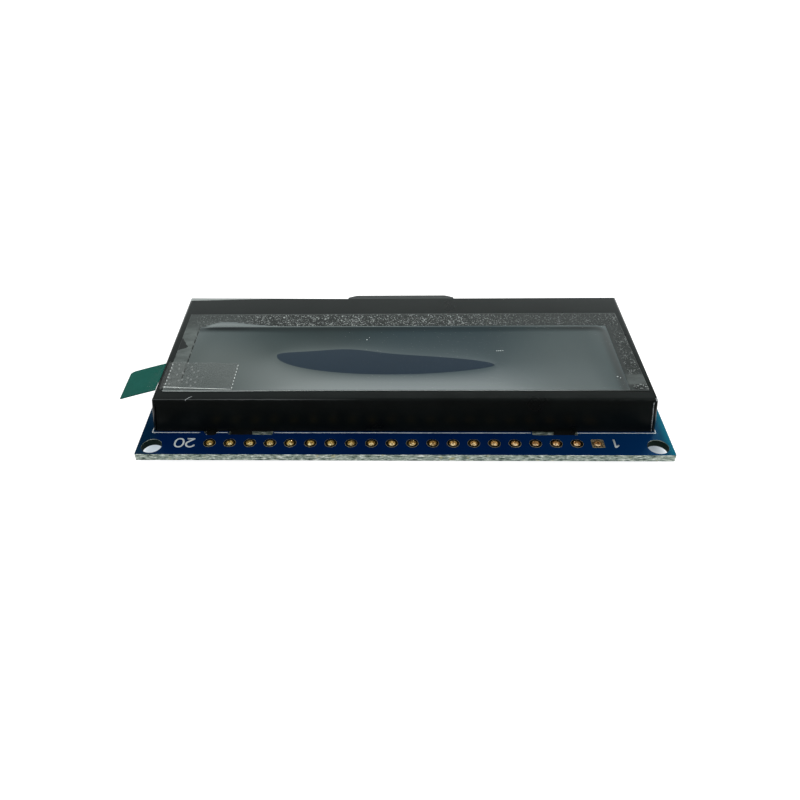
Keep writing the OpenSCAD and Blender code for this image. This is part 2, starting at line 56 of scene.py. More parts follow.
def feed(node, inputs):
    # an input is a constant, a hex colour, a socket to link from, or a node whose first live output is linked
    for key, value in inputs.items():
        if isinstance(value, bpy.types.Node):
            value = next(socket for socket in value.outputs if socket.enabled)
        if isinstance(value, bpy.types.NodeSocket):
            node.id_data.links.new(value, node.inputs[key])
        else:
            node.inputs[key].default_value = linearOf(value)


def addNode(tree, kind, inputs=None, stops=(), **settings):
    # one shader node with its settings and inputs; the stops of a ramp are (place, colour)
    node = tree.nodes.new("ShaderNode" + kind)
    for key, value in settings.items():
        setattr(node, key, value)
    for i, (place, colour) in enumerate(stops):
        elements = node.color_ramp.elements
        element = elements[i] if i < len(elements) else elements.new(place)
        element.position = place
        element.color = linearOf(colour)
    feed(node, inputs or {})
    return node


def newMaterial(name, noises=(), **constants):
    # a Principled material, its constants written as the socket names without spaces;
    # it comes with what adds its nodes, its shader, Object coordinates in mm,
    # and noises that are each a width in mm and a level of detail
    mat = bpy.data.materials.new(name)
    mat.use_nodes = True
    shader = mat.node_tree.nodes["Principled BSDF"]
    sockets = {socket.name.replace(" ", ""): socket for socket in shader.inputs}
    for key, value in constants.items():
        sockets[key].default_value = value
    add = partial(addNode, mat.node_tree)
    place = add("Mapping", {"Vector": add("TexCoord").outputs["Object"], "Scale": (1 / mm,) * 3})
    patterns = []
    for wide, detail in noises:
        patterns.append(add("TexNoise", {"Vector": place, "Scale": 1 / wide, "Detail": detail}))
    return mat, add, shader, place, *patterns


def plainFinish(name, stops, cloud, speck, bump, **constants):
    # a finish with slow clouds and fine specks of colour, sized in mm, and a bump of the specks
    mat, add, shader, place, slow, fine = newMaterial(name, [(cloud, 4.0), (speck, 2.0)], **constants)
    both = add("Mix", {0: 0.4, 2: slow, 3: fine})
    tone = add("ValToRGB", {"Fac": both}, stops)
    feed(shader, {"Base Color": tone, "Normal": add("Bump", {"Height": fine, "Distance": bump * mm})})
    return mat


def pointsOf(x, y, z):
    # one array of points from three arrays that spread over each other
    return np.stack(np.broadcast_arrays(x, y, z), -1)


def gridFaces(rows, columns, closeRows=False, closeColumns=False):
    # quads over a grid of rows x columns points, wrapped round where asked
    r = np.arange(rows if closeRows else rows - 1)[:, None]
    c = np.arange(columns if closeColumns else columns - 1)[None, :]
    r2, c2 = (r + 1) % rows, (c + 1) % columns
    corners = r * columns + c, r * columns + c2, r2 * columns + c2, r2 * columns + c
    return np.stack(np.broadcast_arrays(*corners), -1).reshape(-1, 4)


def joinGrids(grids, **closed):
    # several grids of points in one list, with their quads
    first = np.cumsum([0] + [g.shape[0] * g.shape[1] for g in grids])
    faces = [gridFaces(*g.shape[:2], **closed) + start for g, start in zip(grids, first)]
    return np.concatenate([g.reshape(-1, 3) for g in grids]), np.concatenate(faces)


def addPiece(name, mesh, stands=()):
    # a mesh as one object at the origin, riding on the module, in place of the solids it stands for
    piece = bpy.data.objects.new(name, mesh)
    bpy.context.scene.collection.objects.link(piece)
    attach(piece, "root")
    if stands:
        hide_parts(*stands)
    return piece


def addMesh(name, points, faces, materials, stands=(), faceMaterial=None, turn=False):
    # points in mm and quads as one piece
    mesh = bpy.data.meshes.new(name)
    points = np.asarray(points, float).reshape(-1, 3)
    faces = np.asarray(faces, np.int32)[:, ::-1 if turn else 1]
    mesh.vertices.add(len(points))
    mesh.vertices.foreach_set("co", (points * mm).ravel())
    mesh.loops.add(faces.size)
    mesh.loops.foreach_set("vertex_index", np.ascontiguousarray(faces).ravel())
    mesh.polygons.add(len(faces))
    mesh.polygons.foreach_set("loop_start", np.arange(0, faces.size, 4, dtype=np.int32))
    mesh.polygons.foreach_set("use_smooth", np.ones(len(faces), bool))
    for material in materials:
        mesh.materials.append(material)
    if faceMaterial is not None:
        mesh.polygons.foreach_set("material_index", faceMaterial.astype(np.int32))
    mesh.update(calc_edges=True)
    return addPiece(name, mesh, stands)


def addAttribute(piece, name, values):
    # one number for each point, for a material to read
    layer = piece.data.attributes.new(name, "FLOAT", "POINT")
    layer.data.foreach_set("value", np.asarray(values, np.float32).ravel())


def thicken(piece, thick, offset):
    # a sheet's wall, below its face with offset -1 and above it with 1
    wall = piece.modifiers.new("thickness", "SOLIDIFY")
    wall.thickness = thick * mm
    wall.offset = offset


def dress(material, *names):
    # a solid keeps its shape and gets a finish
    for name in names:
        mesh = solids[name].data
        mesh.materials.clear()
        mesh.materials.append(material)


def boxOf(name):
    # low and high corner of a solid in mm
    points = np.array([v.co for v in solids[name].data.vertices]) / mm
    return points.min(0), points.max(0)


def smoothStep(a, b, x):
    # 0 at a and 1 at b, level at both ends
    t = np.clip((x - a) / (b - a), 0, 1)
    return t * t * (3 - 2 * t)


def hump(x, middle, reach):
    # bell curve, 1 at its middle
    return np.exp(-((x - middle) / reach) ** 2)


def superBox(centre, half, power, rows=13, columns=28):
    # box with soft edges: a sphere's latitude and longitude, with sines and cosines raised to a small power
    lat = np.linspace(-math.pi / 2, math.pi / 2, rows)[:, None]
    lon = np.linspace(-math.pi, math.pi, columns, endpoint=False)[None, :]
    bend = lambda v: np.sign(v) * np.abs(v) ** power
    girth = bend(np.cos(lat))
    unit = pointsOf(girth * bend(np.cos(lon)), girth * bend(np.sin(lon)), bend(np.sin(lat)))
    return np.array(centre) + unit * np.array(half)


def ribbon(path, width, base, height):
    # a low crowned section carried along a flat path; its ends close to a point
    path = np.asarray(path, float)
    along = np.gradient(path, axis=0)
    along /= np.linalg.norm(along, axis=1, keepdims=True)
    side = np.stack([-along[:, 1], along[:, 0]], 1)
    across = np.array([-0.5, -0.42, -0.2, 0.2, 0.42, 0.5])
    up = np.array([0, 0.85, 1, 1, 0.85, 0])
    scale = np.concatenate([[0], np.ones(len(path)), [0]])[:, None]
    path, side = path[[0, *range(len(path)), -1]], side[[0, *range(len(side)), -1]]
    flat = path[:, None, :] + side[:, None, :] * (across * width * scale)[..., None]
    return np.concatenate([flat, (base + height * up * scale)[..., None]], -1)


def roundCorners(points, radius):
    # polyline with an arc-like curve of four points in place of each inner corner
    points = np.asarray(points, float)
    a, b, c = points[:-2], points[1:-1], points[2:]
    cut = lambda p, q: p + (q - p) * np.minimum(radius / np.linalg.norm(q - p, axis=1), 0.5)[:, None]
    t = np.linspace(0, 1, 4)[None, :, None]
    curve = (1 - t) ** 2 * cut(b, a)[:, None] + 2 * t * (1 - t) * b[:, None] + t ** 2 * cut(b, c)[:, None]
    return np.concatenate([points[:1], curve.reshape(-1, 2), points[-1:]])


board = {
    "thick": 1.0,
    "mask": [(0.3, "#011b47"), (0.7, "#02214f")],
    "tints": (  # painted light and shade by x: where it starts and is full, its most, and its colour
        (-30.5, -32.0, 0.9, "#04243f"),
        (12.0, 30.0, 1.0, "#032c58"),
        (30.8, 32.2, 1.0, "#00304a"),
        (32.2, 33.1, 1.0, "#005468"),
    ),
    "plies": [(0.38, "#39453e"), (0.47, "#89958b"), (0.54, "#b2bbaf"), (0.62, "#f2f4ec")],
    "fleck": "#c9bf8e",
    "holes": (31.35, 14.85, 0.0),
    "holeReach": 1.45,
    "holeRim": 0.9,
    "drilled": "#161c19",
    "track": [(0.3, "#0a5a97"), (0.7, "#1266a4")],
}


def maskedLaminate():
    # glass-epoxy laminate under cured blue solder mask: deep glossy faces, and routed edges
    # where the plies show as grey-green streaks with a few yellow flecks
    gloss = {"SpecularIORLevel": 0.2, "SpecularTint": (0.1, 1.0, 0.85, 1)}
    noises = (7, 3.0), (0.9, 1.0), (0.3, 2.0)  # clouds in the mask, flecks and weave
    mat, add, shader, place, cloud, spot, weave = newMaterial("solderMaskOnGlassLaminate", noises, **gloss)
    xyz = add("SeparateXYZ", {0: place}).outputs
    x, z = xyz["X"], xyz["Z"]
    middle = board["thick"] / 2
    wall = add("Math", {0: z, 1: middle, 2: middle - 0.02}, operation="COMPARE")
    blueAndPaintedLight = add("ValToRGB", {"Fac": cloud}, board["mask"])
    # painted light and shade: the blue is dull at the left edge, where the bezel shades it, and brighter and
    # teal to the right, where the light falls and the mask shines
    for start, full, most, colour in board["tints"]:
        share = add("MapRange", {"Value": x, "From Min": start, "From Max": full, "To Max": most})
        blueAndPaintedLight = add("Mix", {0: share, 6: blueAndPaintedLight, 7: colour}, data_type="RGBA")
    # streaks 0.9 mm long and 0.2 mm high, and flecks 0.9 mm apart
    flat = add("Mapping", {"Vector": place, "Scale": (1.1, 1.1, 5.0)})
    streak = add("TexNoise", {"Vector": flat, "Scale": 1.0, "Detail": 5.0, "Roughness": 0.7})
    plies = add("ValToRGB", {"Fac": streak}, board["plies"])
    few = add("MapRange", {"Value": spot, "From Min": 0.66, "From Max": 0.74, "To Max": 0.6})
    # painted shade: the four drilled walls are painted dark, as the shade inside the holes, and pale only at
    # the upper rim
    corner = add("VectorMath", {0: place}, operation="ABSOLUTE")
    corner = add("VectorMath", {0: corner, 1: (1, 1, 0)}, operation="MULTIPLY")
    away = add("VectorMath", {0: corner, 1: board["holes"]}, operation="DISTANCE")
    boreShadeMask = add("Math", {0: away, 1: board["holeReach"]}, operation="LESS_THAN")
    low = add("Math", {0: z, 1: board["holeRim"]}, operation="LESS_THAN")
    boreShadeMask = add("Math", {0: boreShadeMask, 1: low}, operation="MULTIPLY")
    for share, colour in ((few, board["fleck"]), (boreShadeMask, board["drilled"])):
        plies = add("Mix", {0: share, 6: plies, 7: colour}, data_type="RGBA")
    tone = add("Mix", {0: wall, 6: blueAndPaintedLight, 7: plies}, data_type="RGBA")
    rough = add("MapRange", {"Value": wall, "To Min": 0.2, "To Max": 0.8})
    # the cloth's weave, just felt through the mask
    relief = add("Bump", {"Height": weave, "Distance": 0.004 * mm})
    feed(shader, {"Base Color": tone, "Roughness": rough, "Normal": relief})
    return mat


bezel = {
    "paint": [(0.3, "#080a09"), (0.7, "#0e1110")],
    # bare steel where the coat is worn through, also used for the painted highlight on the front fold
    "bare": "#a4a8a9",
    "rubbed": "#858987",
    "springLeft": 0.6,  # how far the front corners stand open at the foot
    "springRight": 0.55,
    "springTop": 5.6,
    "springFoot": 1.0,
    "springX": (26.5, 30),  # where the springing starts and is full
    "springY": (-8, -11),
    "leanBack": 0.4,  # how far the back wall leans out at its left end
    "leanX": (-14, -30),
    "leanY": (11.6, 11.9),
    "seamX": 30.64,
    "seamY": -12.02,
    "wornCorner": (31.0, -11.85, 5.98),
    "scratch": (-26.53, -11.64, 6.1),
    "scratchSides": (((0.785, 0.62, 0.0), 0.48), ((-0.62, 0.785, 0.0), 0.03)),  # direction and half size
    "hairline": (-11.845, 0.05),  # y and half width
    "hairlineX": (-4.0, -16.0, 0.13),  # where it starts and is full, and its most
    "hairlineZ": 5.9,
    "rubY": 12.33,
    "rubZ": (5.93, 6.0),
    "rubX": (-31.2, -17.0),
    "rubWide": (0.65, 0.2),
    "rubFade": (-17.0, -27.0),
}


def blackedSteel():
    # cold-rolled steel under a thin black electro-coat: satin with a fine orange peel, bare where the shears
    # have rubbed the coat through, with a painted highlight on the front fold and a painted reflection on the
    # back fold
    noises = (0.18, 3.0), (5, 4.0), (0.25, 3.0)  # orange peel, clouds and ragged wear
    satin = {"SpecularIORLevel": 0.18}
    mat, add, shader, place, peel, cloud, ragged = newMaterial("blackCoatedSteel", noises, **satin)
    x, y, z = add("SeparateXYZ", {0: place}).outputs
    # a rubbed line down the right front seam, 0.06 mm wide and broken
    reach = add("Math", {0: ragged, 1: 0.2, 2: -0.07}, operation="MULTIPLY_ADD")
    down = add("MapRange", {"Value": z, "From Min": bezel["springTop"], "From Max": bezel["springFoot"]})
    lean = add("Math", {0: down, 1: bezel["springRight"], 2: bezel["seamX"]}, operation="MULTIPLY_ADD")
    seam = add("Math", {0: x, 1: lean, 2: reach}, operation="COMPARE")
    front = add("Math", {0: y, 1: bezel["seamY"]}, operation="LESS_THAN")
    wearAndHighlight = add("Math", {0: seam, 1: front}, operation="MULTIPLY")
    # the worn corner, 0.3 mm across with a ragged edge
    away = add("VectorMath", {0: place, 1: bezel["wornCorner"]}, operation="DISTANCE")
    broken = add("Math", {0: ragged, 1: 0.9, 2: away}, operation="MULTIPLY_ADD")
    worn = add("Math", {0: broken, 1: 0.7}, operation="LESS_THAN")
    # a slanting scratch over the front fold, 1 mm long and 0.06 mm wide
    away = add("VectorMath", {0: place, 1: bezel["scratch"]}, operation="SUBTRACT")
    score = 1.0
    for axis, half in bezel["scratchSides"]:
        part = add("VectorMath", {0: away, 1: axis}, operation="DOT_PRODUCT")
        inside = add("Math", {0: part, 1: 0.0, 2: half}, operation="COMPARE")
        score = add("Math", {0: score, 1: inside}, operation="MULTIPLY")
    # a painted highlight: the left half of the front fold gets a faint pale hairline
    where, half = bezel["hairline"]
    start, full, most = bezel["hairlineX"]
    line = add("Math", {0: y, 1: where, 2: half}, operation="COMPARE")
    faint = add("MapRange", {"Value": x, "From Min": start, "From Max": full, "To Max": most})
    upper = add("Math", {0: z, 1: bezel["hairlineZ"]}, operation="GREATER_THAN")
    for share in (faint, upper):
        line = add("Math", {0: line, 1: share}, operation="MULTIPLY")
    for mark in (worn, score, line):
        wearAndHighlight = add("Math", {0: wearAndHighlight, 1: mark}, operation="MAXIMUM")
    # a painted reflection: the back fold is pale at its left end, in a wedge that narrows and fades to the
    # right
    (start, end), (wide, thin) = bezel["rubX"], bezel["rubWide"]
    wedge = add("MapRange", {"Value": x, "From Min": start, "From Max": end, "To Min": wide, "To Max": thin})
    back = add("Math", {0: y, 1: wedge}, operation="ADD")
    reflection = add("Math", {0: back, 1: bezel["rubY"]}, operation="GREATER_THAN")
    for value, (start, full) in ((z, bezel["rubZ"]), (x, bezel["rubFade"])):
        share = add("MapRange", {"Value": value, "From Min": start, "From Max": full})
        reflection = add("Math", {0: reflection, 1: share}, operation="MULTIPLY")
    tone = add("ValToRGB", {"Fac": cloud}, bezel["paint"])
    for share, colour in ((wearAndHighlight, bezel["bare"]), (reflection, bezel["rubbed"])):
        tone = add("Mix", {0: share, 6: tone, 7: colour}, data_type="RGBA")
    # the tabs in the board's slots are scuffed matt
    rough = add("MapRange", {"Value": cloud, "To Min": 0.24, "To Max": 0.34})
    sunk = add("Math", {0: z, 1: board["thick"]}, operation="LESS_THAN")
    rough = add("Math", {0: sunk, 1: 0.6, 2: rough}, operation="MULTIPLY_ADD")
    relief = add("Bump", {"Height": peel, "Distance": 0.003 * mm})
    feed(shader, {"Base Color": tone, "Roughness": rough, "Normal": relief})
    return mat


def sprungBezel():
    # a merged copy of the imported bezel, slightly bent: near its front corners x moves outwards by the spring
    # times the share of the way from fold to foot, and at its left end the back wall leans out,
    # most at the fold
    mesh = solids["bezel"].data.copy()
    merged = bmesh.new()
    merged.from_mesh(mesh)
    bmesh.ops.remove_doubles(merged, verts=merged.verts, dist=0.001 * mm)
    merged.to_mesh(mesh)
    merged.free()
    points = np.empty(3 * len(mesh.vertices))
    mesh.vertices.foreach_get("co", points)
    x, y, z = points.reshape(-1, 3).T / mm
    top, foot = bezel["springTop"], bezel["springFoot"]
    down = np.clip((top - z) / (top - foot), 0, 1)
    corner = smoothStep(*bezel["springX"], np.abs(x)) * smoothStep(*bezel["springY"], y)
    spring = np.where(x < 0, bezel["springLeft"], bezel["springRight"])
    x = x + np.sign(x) * spring * down * corner
    lean = bezel["leanBack"] * smoothStep(*bezel["leanX"], x) * smoothStep(*bezel["leanY"], y)
    y = y + lean * smoothStep(foot, top, z)
    mesh.vertices.foreach_set("co", (pointsOf(x, y, z) * mm).ravel())
    mesh.polygons.foreach_set("use_smooth", np.ones(len(mesh.polygons), bool))
    mesh.set_sharp_from_angle(angle=math.radians(25))
    mesh.materials.clear()
    mesh.materials.append(blackedSteel())
    addPiece("sprungBezel", mesh, ["bezel"])


dress(maskedLaminate(), "circuit_board")
sprungBezel()
print("board and bezel finished")


header = {
    "count": 20,
    "pitch": 2.54,
    "y": -14.3,
    "bore": 0.45,
    "drill": 0.57,
    "pad": 0.775,
    "rise": 0.04,
    "edge": 0.03,
    "brimWide": 0.04,
    "dullInside": 0.06,
    "segments": 48,
    "square": 12,  # power that makes pad 1 square
    "gold": [(0.4, "#7d6434"), (0.6, "#efe0ac")],
    "stained": [(0.4, "#70522e"), (0.6, "#f2d6ac")],
    "stainX": (-8.0, 18.0),
    "brim": [(0.3, "#8a8064"), (0.7, "#b3a680")],
}
headerX = ((header["count"] - 1) / 2 - np.arange(header["count"])) * header["pitch"]


def platedGold(name, rough):
    # immersion gold over nickel: bright with a fine grain, and redder towards hole 1, where flux stained it
    mat, add, shader, place, grain = newMaterial(name, [(0.2, 2.0)], Metallic=1.0, Roughness=rough)
    x = add("SeparateXYZ", {0: place}).outputs["X"]
    start, full = header["stainX"]
    share = add("MapRange", {"Value": x, "From Min": start, "From Max": full})
    gold, red = [add("ValToRGB", {"Fac": grain}, header[key]) for key in ("gold", "stained")]
    tone = add("Mix", {0: share, 6: gold, 7: red}, data_type="RGBA")
    feed(shader, {"Base Color": tone, "Normal": add("Bump", {"Height": grain, "Distance": 0.01 * mm})})
    return mat


def headerPads():
    # plated hole and its two pads as one closed section turned round the hole; on hole 1 the part outside
    # the drill is stretched to a square with soft corners, whose reach is a high root of a sum of high powers
    gold, dulled = platedGold("immersionGoldOnNickel", 0.18), platedGold("dulledImmersionGold", 0.55)
    brim = plainFinish("laminateAtMaskOpening", header["brim"], 0.5, 0.1, 0.004, Roughness=0.3)
    top, middle = board["thick"], board["thick"] / 2
    low, high = -header["rise"], top + header["rise"]
    bore, drill, pad = header["bore"], header["drill"], header["pad"]
    above = [(drill, middle), (drill, top), (pad, top), (pad, high), (bore, high), (bore, middle)]
    below = [(bore, low), (pad, low), (pad, 0.0), (drill, 0.0), (drill, middle)]
    section = roundCorners(above + below, header["edge"])[:-1]
    angle = np.linspace(0, 2 * math.pi, header["segments"], endpoint=False)
    power = header["square"]
    reach = np.ones((header["count"], header["segments"]))
    reach[0] = (np.abs(np.cos(angle)) ** power + np.abs(np.sin(angle)) ** power) ** (-1 / power)
    past = np.maximum(section[:, 0] - drill, 0) / (pad - drill)
    r = section[:, 0] + past * pad * (reach[:, :, None] - 1)
    x = headerX[:, None, None] + r * np.cos(angle)[None, :, None]
    y = header["y"] + r * np.sin(angle)[None, :, None]
    points, faces = joinGrids(list(pointsOf(x, y, section[:, 1])), closeRows=True, closeColumns=True)
    # the outermost brim is laminate that shows in the mask's opening, and the face of pad 1 is dulled
    radius = (section[:, 0] + np.roll(section[:, 0], -1)) / 2
    outer = radius > pad - header["brimWide"]
    kind = np.tile(outer, header["count"] * header["segments"]).astype(int)
    firstKind = np.where(outer, 1, np.where(radius > drill - header["dullInside"], 2, 0))
    kind[:header["segments"] * len(section)] = np.tile(firstKind, header["segments"])
    addMesh("headerPads", points, faces, [gold, brim, dulled], ["header_pads"], kind)


headerPads()


legend = {
    "left": -31.85, "right": 31.72, "front": -12.3, "back": 12.8,
    "breaks": [(-25.7, -23.6), (-22.2, -16.2), (16.2, 21.95)],
    "bulge": 8.2,
    "line": 0.12,
    "rise": 0.02,
    "stroke": 0.24,
    "bend": 0.12,
    "digitHigh": 1.53,
    "digitWide": 1.08,
    "digitTop": -15.03,
    "digitEnds": (-25.99, -27.43, 26.74),  # far ends of the 2, the 0 and the 1
    "ink": [(0.3, "#aab4b8"), (0.5, "#d6dbdc")],
}


def legendInk():
    # screen-printed epoxy ink: matt off-white, thin enough in places for the blue to show
    mat, add, shader, place, grain = newMaterial("printedEpoxyInk", [(0.22, 3.0)], Roughness=0.6)
    tone = add("ValToRGB", {"Fac": grain}, legend["ink"])
    feed(shader, {"Base Color": tone, "Normal": add("Bump", {"Height": grain, "Distance": 0.004 * mm})})
    return mat


def printedLegend():
    # outline round the bezel, broken at its slots, and the first and last hole numbers,
    # which read from the far side
    x0, x1, y0, y1 = legend["left"], legend["right"], legend["front"], legend["back"]
    bulge, top, rise = legend["bulge"], board["thick"], legend["rise"]
    ends = [x0, *[v for pair in legend["breaks"] for v in pair], x1]
    lines = [((a, y0), (b, y0)) for a, b in zip(ends[::2], ends[1::2])]
    lines += [((x0, y0), (x0, y1)), ((x1, y0), (x1, y1))]
    lines += [((x0, y1), (-bulge, y1)), ((bulge, y1), (x1, y1))]
    t = np.linspace(0, 1, 25)[:, None]
    strokes = [ribbon(start + (end - start) * t, legend["line"], top, rise) for start, end in np.array(lines)]
    # the figures as paths: an oval with full sides, a bow with a foot, and a stem with a flag
    w, h = legend["digitWide"], legend["digitHigh"]
    a = np.linspace(0, 2 * math.pi, 41)
    full = np.sign(np.cos(a)) * np.abs(np.cos(a)) ** 0.8
    zero = np.stack([w / 2 + w / 2 * full, h / 2 + h / 2 * np.sin(a)], 1)
    a = np.linspace(math.radians(165), math.radians(-38), 24)
    bow = np.stack([w / 2 + w / 2 * np.cos(a), h - w / 2 + w / 2 * np.sin(a)], 1)
    two = roundCorners(np.concatenate([bow, [(0.1, 0.0), (w, 0.0)]]), legend["bend"])
    one = roundCorners([(w * 0.1, h * 0.72), (w * 0.5, h), (w * 0.5, 0.0)], legend["bend"])
    # a half turn about the far end of each number
    for figure, end in zip((two, zero, one), legend["digitEnds"]):
        path = np.array([end, legend["digitTop"] + h]) - figure
        strokes.append(ribbon(path, legend["stroke"], top, rise))
    points, faces = joinGrids(strokes, closeColumns=True)
    addMesh("printedLegend", points, faces, [legendInk()], turn=True)


printedLegend()
print("header row and legend made")


film = {
    "sheet": (-30.1, 30.1, -10.35, 7.7),  # left, right, front, back
    "window": (-28.1, 28.1, -10.05, 4.45),
    "askew": 0.35,
    "frontAskew": 0.15,
    "frontAskewX": (-24, -8),
    "top": 6.18,
    "thick": 0.08,
    "edge": 0.06,
    "sag": 0.46,
    "steep": 1.8,  # power of the slope down to the patch
    "slack": 0.13,
    "wave": 0.035,
    "lip": 0.05,
    "lipCorner": 1.6,
    "soft": 0.012,  # how gently it turns over the window's edge
    "bead": 0.018,
    "beadAtCrease": 0.042,
    "beadY": 4.2,
    "creaseX": -25.2,
    "tips": ((-16.65, -1.91), (12.12, -4.26)),  # ends of the patch that touches the display
    "tipShare": 0.05,
    "cells": (282, 74),
    "passes": 6000,
    "frontColumns": 190,
    "sideColumns": 60,
    "rows": (7, 45, 14),  # over the patch, the slope and the margin
    "haze": [(0.35, "#1b2728"), (0.65, "#233031")],
    "hazeLeft": "#252e2b",
    "hazeLeftX": (-9.0, -23.0),  # where it starts and is full
    "hazeLeftY": (3.5, -2.5),
    "hazeMiddle": "#12262c",
    "hazeMiddleX": 5.0,
    "hazeMiddleReach": (15.0, 5.0),
    # painted dark reflection in the steep lip, browner to the right
    "lipLeft": "#060808",
    "lipRight": "#130f0c",
    "lipRightX": (12.0, 24.0),
    # painted highlight on the pale line where the film bends over the window's edge
    "bend": "#5b625f",
    "dust": "#9ea5a3",
    "contact": [(0.3, "#051827"), (0.7, "#071c2c")],
    "stuck": "#0e1010",
    "wetted": "#0c0d0d",
    "veil": [(0.36, "#444947"), (0.62, "#565c5a")],
    "grain": [(0.52, "#050706"), (0.585, "#131716"), (0.64, "#9aa09d")],
    "cutEdge": [(0.0, "#c4cac8"), (0.55, "#a8aeac"), (0.9, "#a8aeac"), (1.0, "#6c7270")],
    "cutEdgeX": (-30.0, 24.0),
    "specks": (  # x, y, radius
        (-4.69, 1.65, 0.1), (-4.36, 2.14, 0.05), (12.7, -1.02, 0.08),
        (12.95, -1.02, 0.1), (13.2, -1.02, 0.1), (13.5, -1.02, 0.08),
        (-1.25, -6.18, 0.09), (27.2, -7.3, 0.1), (27.5, -7.6, 0.08),
    ),
}
frontSteps = np.arange(film["frontColumns"]) / film["frontColumns"]
sideSteps = np.arange(film["sideColumns"]) / film["sideColumns"]


def patchCurve(t, upper):
    # edge of the patch that touches the display, as an offset from the line between its tips:
    # a power of the distance from each tip, and on the upper side one soft shoulder
    if upper:
        return 2.53 * t ** 0.39 * (1 - t) ** 0.38 + 0.77 * hump(t, 0.333, 0.149) * smoothStep(0, 0.1, t)
    return -7.53 * t ** 0.47 * (1 - t) ** 0.78


def patchPoint(t, offset):
    # place at a share of the way between the patch's tips, off that line by an offset
    (x0, y0), (x1, y1) = film["tips"]
    return np.stack([x0 + (x1 - x0) * t, y0 + (y1 - y0) * t + offset], -1)


def loopRound(x0, x1, y0, y1):
    # rectangle's outline from its front left corner, anticlockwise, with set numbers of points on each side
    s, q = frontSteps, sideSteps
    x = np.concatenate([x0 + (x1 - x0) * s, x1 + 0 * q, x1 - (x1 - x0) * s, x0 + 0 * q])
    y = np.concatenate([y0 + 0 * s, y0 + (y1 - y0) * q, y1 + 0 * s, y1 - (y1 - y0) * q])
    return np.stack([x, y], -1)


def patchLoops():
    # the patch's outline and its middle line, with their points matched to loopRound
    s, q, tip = frontSteps, sideSteps, film["tipShare"]
    run, turnIn = tip + (1 - 2 * tip) * s, tip * (2 * q - 1) ** 2
    t = np.concatenate([run, 1 - turnIn, 1 - run, turnIn])
    isUpper = np.concatenate([s < 0, q >= 0.5, s >= 0, q < 0.5])
    offset = np.where(isUpper, patchCurve(t, True), patchCurve(t, False))
    return patchPoint(t, offset), patchPoint(t, 0 * t)


def stretchedSheet():
    # a sheet stretched from the window's edge (0) to the patch (1): every cell is the mean
    # of its four neighbours, reached by averaging over and over
    columns, rows = film["cells"]
    left, right, front, back = film["window"]
    x = np.linspace(left, right, columns)[None, :]
    y = np.linspace(front, back, rows)[:, None]
    (x0, y0), (x1, y1) = film["tips"]
    t = np.clip((x - x0) / (x1 - x0), 0, 1)
    off = y - (y0 + (y1 - y0) * t)
    patch = (x > x0) & (x < x1) & (off < patchCurve(t, True)) & (off > patchCurve(t, False))
    sheet = patch.astype(float)
    for _ in range(film["passes"]):
        sheet[1:-1, 1:-1] = (sheet[:-2, 1:-1] + sheet[2:, 1:-1] + sheet[1:-1, :-2] + sheet[1:-1, 2:]) / 4
        sheet[patch] = 1
    return sheet


def readGrid(sheet, x, y):
    # the sheet's value at any place of the window, between its four nearest cells; 0 outside
    columns, rows = film["cells"]
    left, right, front, back = film["window"]
    u = (x - left) / (right - left) * (columns - 1)
    v = (y - front) / (back - front) * (rows - 1)
    u, v = np.clip(u, 0, columns - 1.001), np.clip(v, 0, rows - 1.001)
    i, j = u.astype(int), v.astype(int)
    u, v = u - i, v - j
    near = sheet[j, i] * (1 - u) + sheet[j, i + 1] * u
    far = sheet[j + 1, i] * (1 - u) + sheet[j + 1, i + 1] * u
    return near * (1 - v) + far * v


dish = stretchedSheet()


def creaseLine(x):
    # where the lifted film lands behind the window: just past its back edge,
    # and further back over the left crease
    return 4.5 + 1.25 * hump(x, film["creaseX"], np.where(x < film["creaseX"], 1.6, 5.0))


def lipDepth(x, y):
    # distance inside the window's back and right edges, round their corner
    r = film["lipCorner"]
    right, back = film["window"][1::2]
    return r - np.hypot(np.maximum(r - (back - y), 0), np.maximum(r - (right - x), 0))


def filmTop(x, y):
    # height of the film's face: level on the bezel, down to the display in the patch, and between them
    # a power of the stretched sheet, blended softly over the window's edge
    left, right, front, back = film["window"]
    share = 1 - readGrid(dish, x, y)
    inside = np.stack([x - left, right - x, y - front, back - y]).min(0)
    v = np.clip((y - front) / (back - front), 0, 1)
    # slack at the right, a slow wave at the left and a steep lip at the back and right, all up to the patch
    slack = film["slack"] * smoothStep(2, 16, x) * smoothStep(right, 24, x) * 4 * v * (1 - v)
    wave = film["wave"] * smoothStep(-8, -18, x) * smoothStep(left, -25, x) * np.sin(2 * math.pi * v)
    lip = film["lip"] * smoothStep(0, 1.3, lipDepth(x, y))
    sag = film["sag"] * (1 - share ** film["steep"])
    drop = sag + (slack - wave + lip) * share - 0.2 * np.maximum(-inside, 0)
    z = film["top"] - film["soft"] * np.log1p(np.exp(np.clip(drop / film["soft"], -40, 40)))
    # a low bead over the window's back edge, broad over the left crease and dying out to the right
    peak, land = film["beadY"], creaseLine(x)
    high = (film["bead"] + film["beadAtCrease"] * hump(x, -24.5, 3.6)) * smoothStep(-27.8, -26.4, x)
    high = high * (0.35 + 0.65 * smoothStep(12, 0, x)) * smoothStep(27.5, 25, x)
    behind = np.cos(math.pi / 2 * np.clip((y - peak) / (land - peak), 0, 1)) ** 2
    before = hump(np.minimum(y - peak, 0), 0, 0.3)
    return z + high * np.where(y > peak, behind, before)


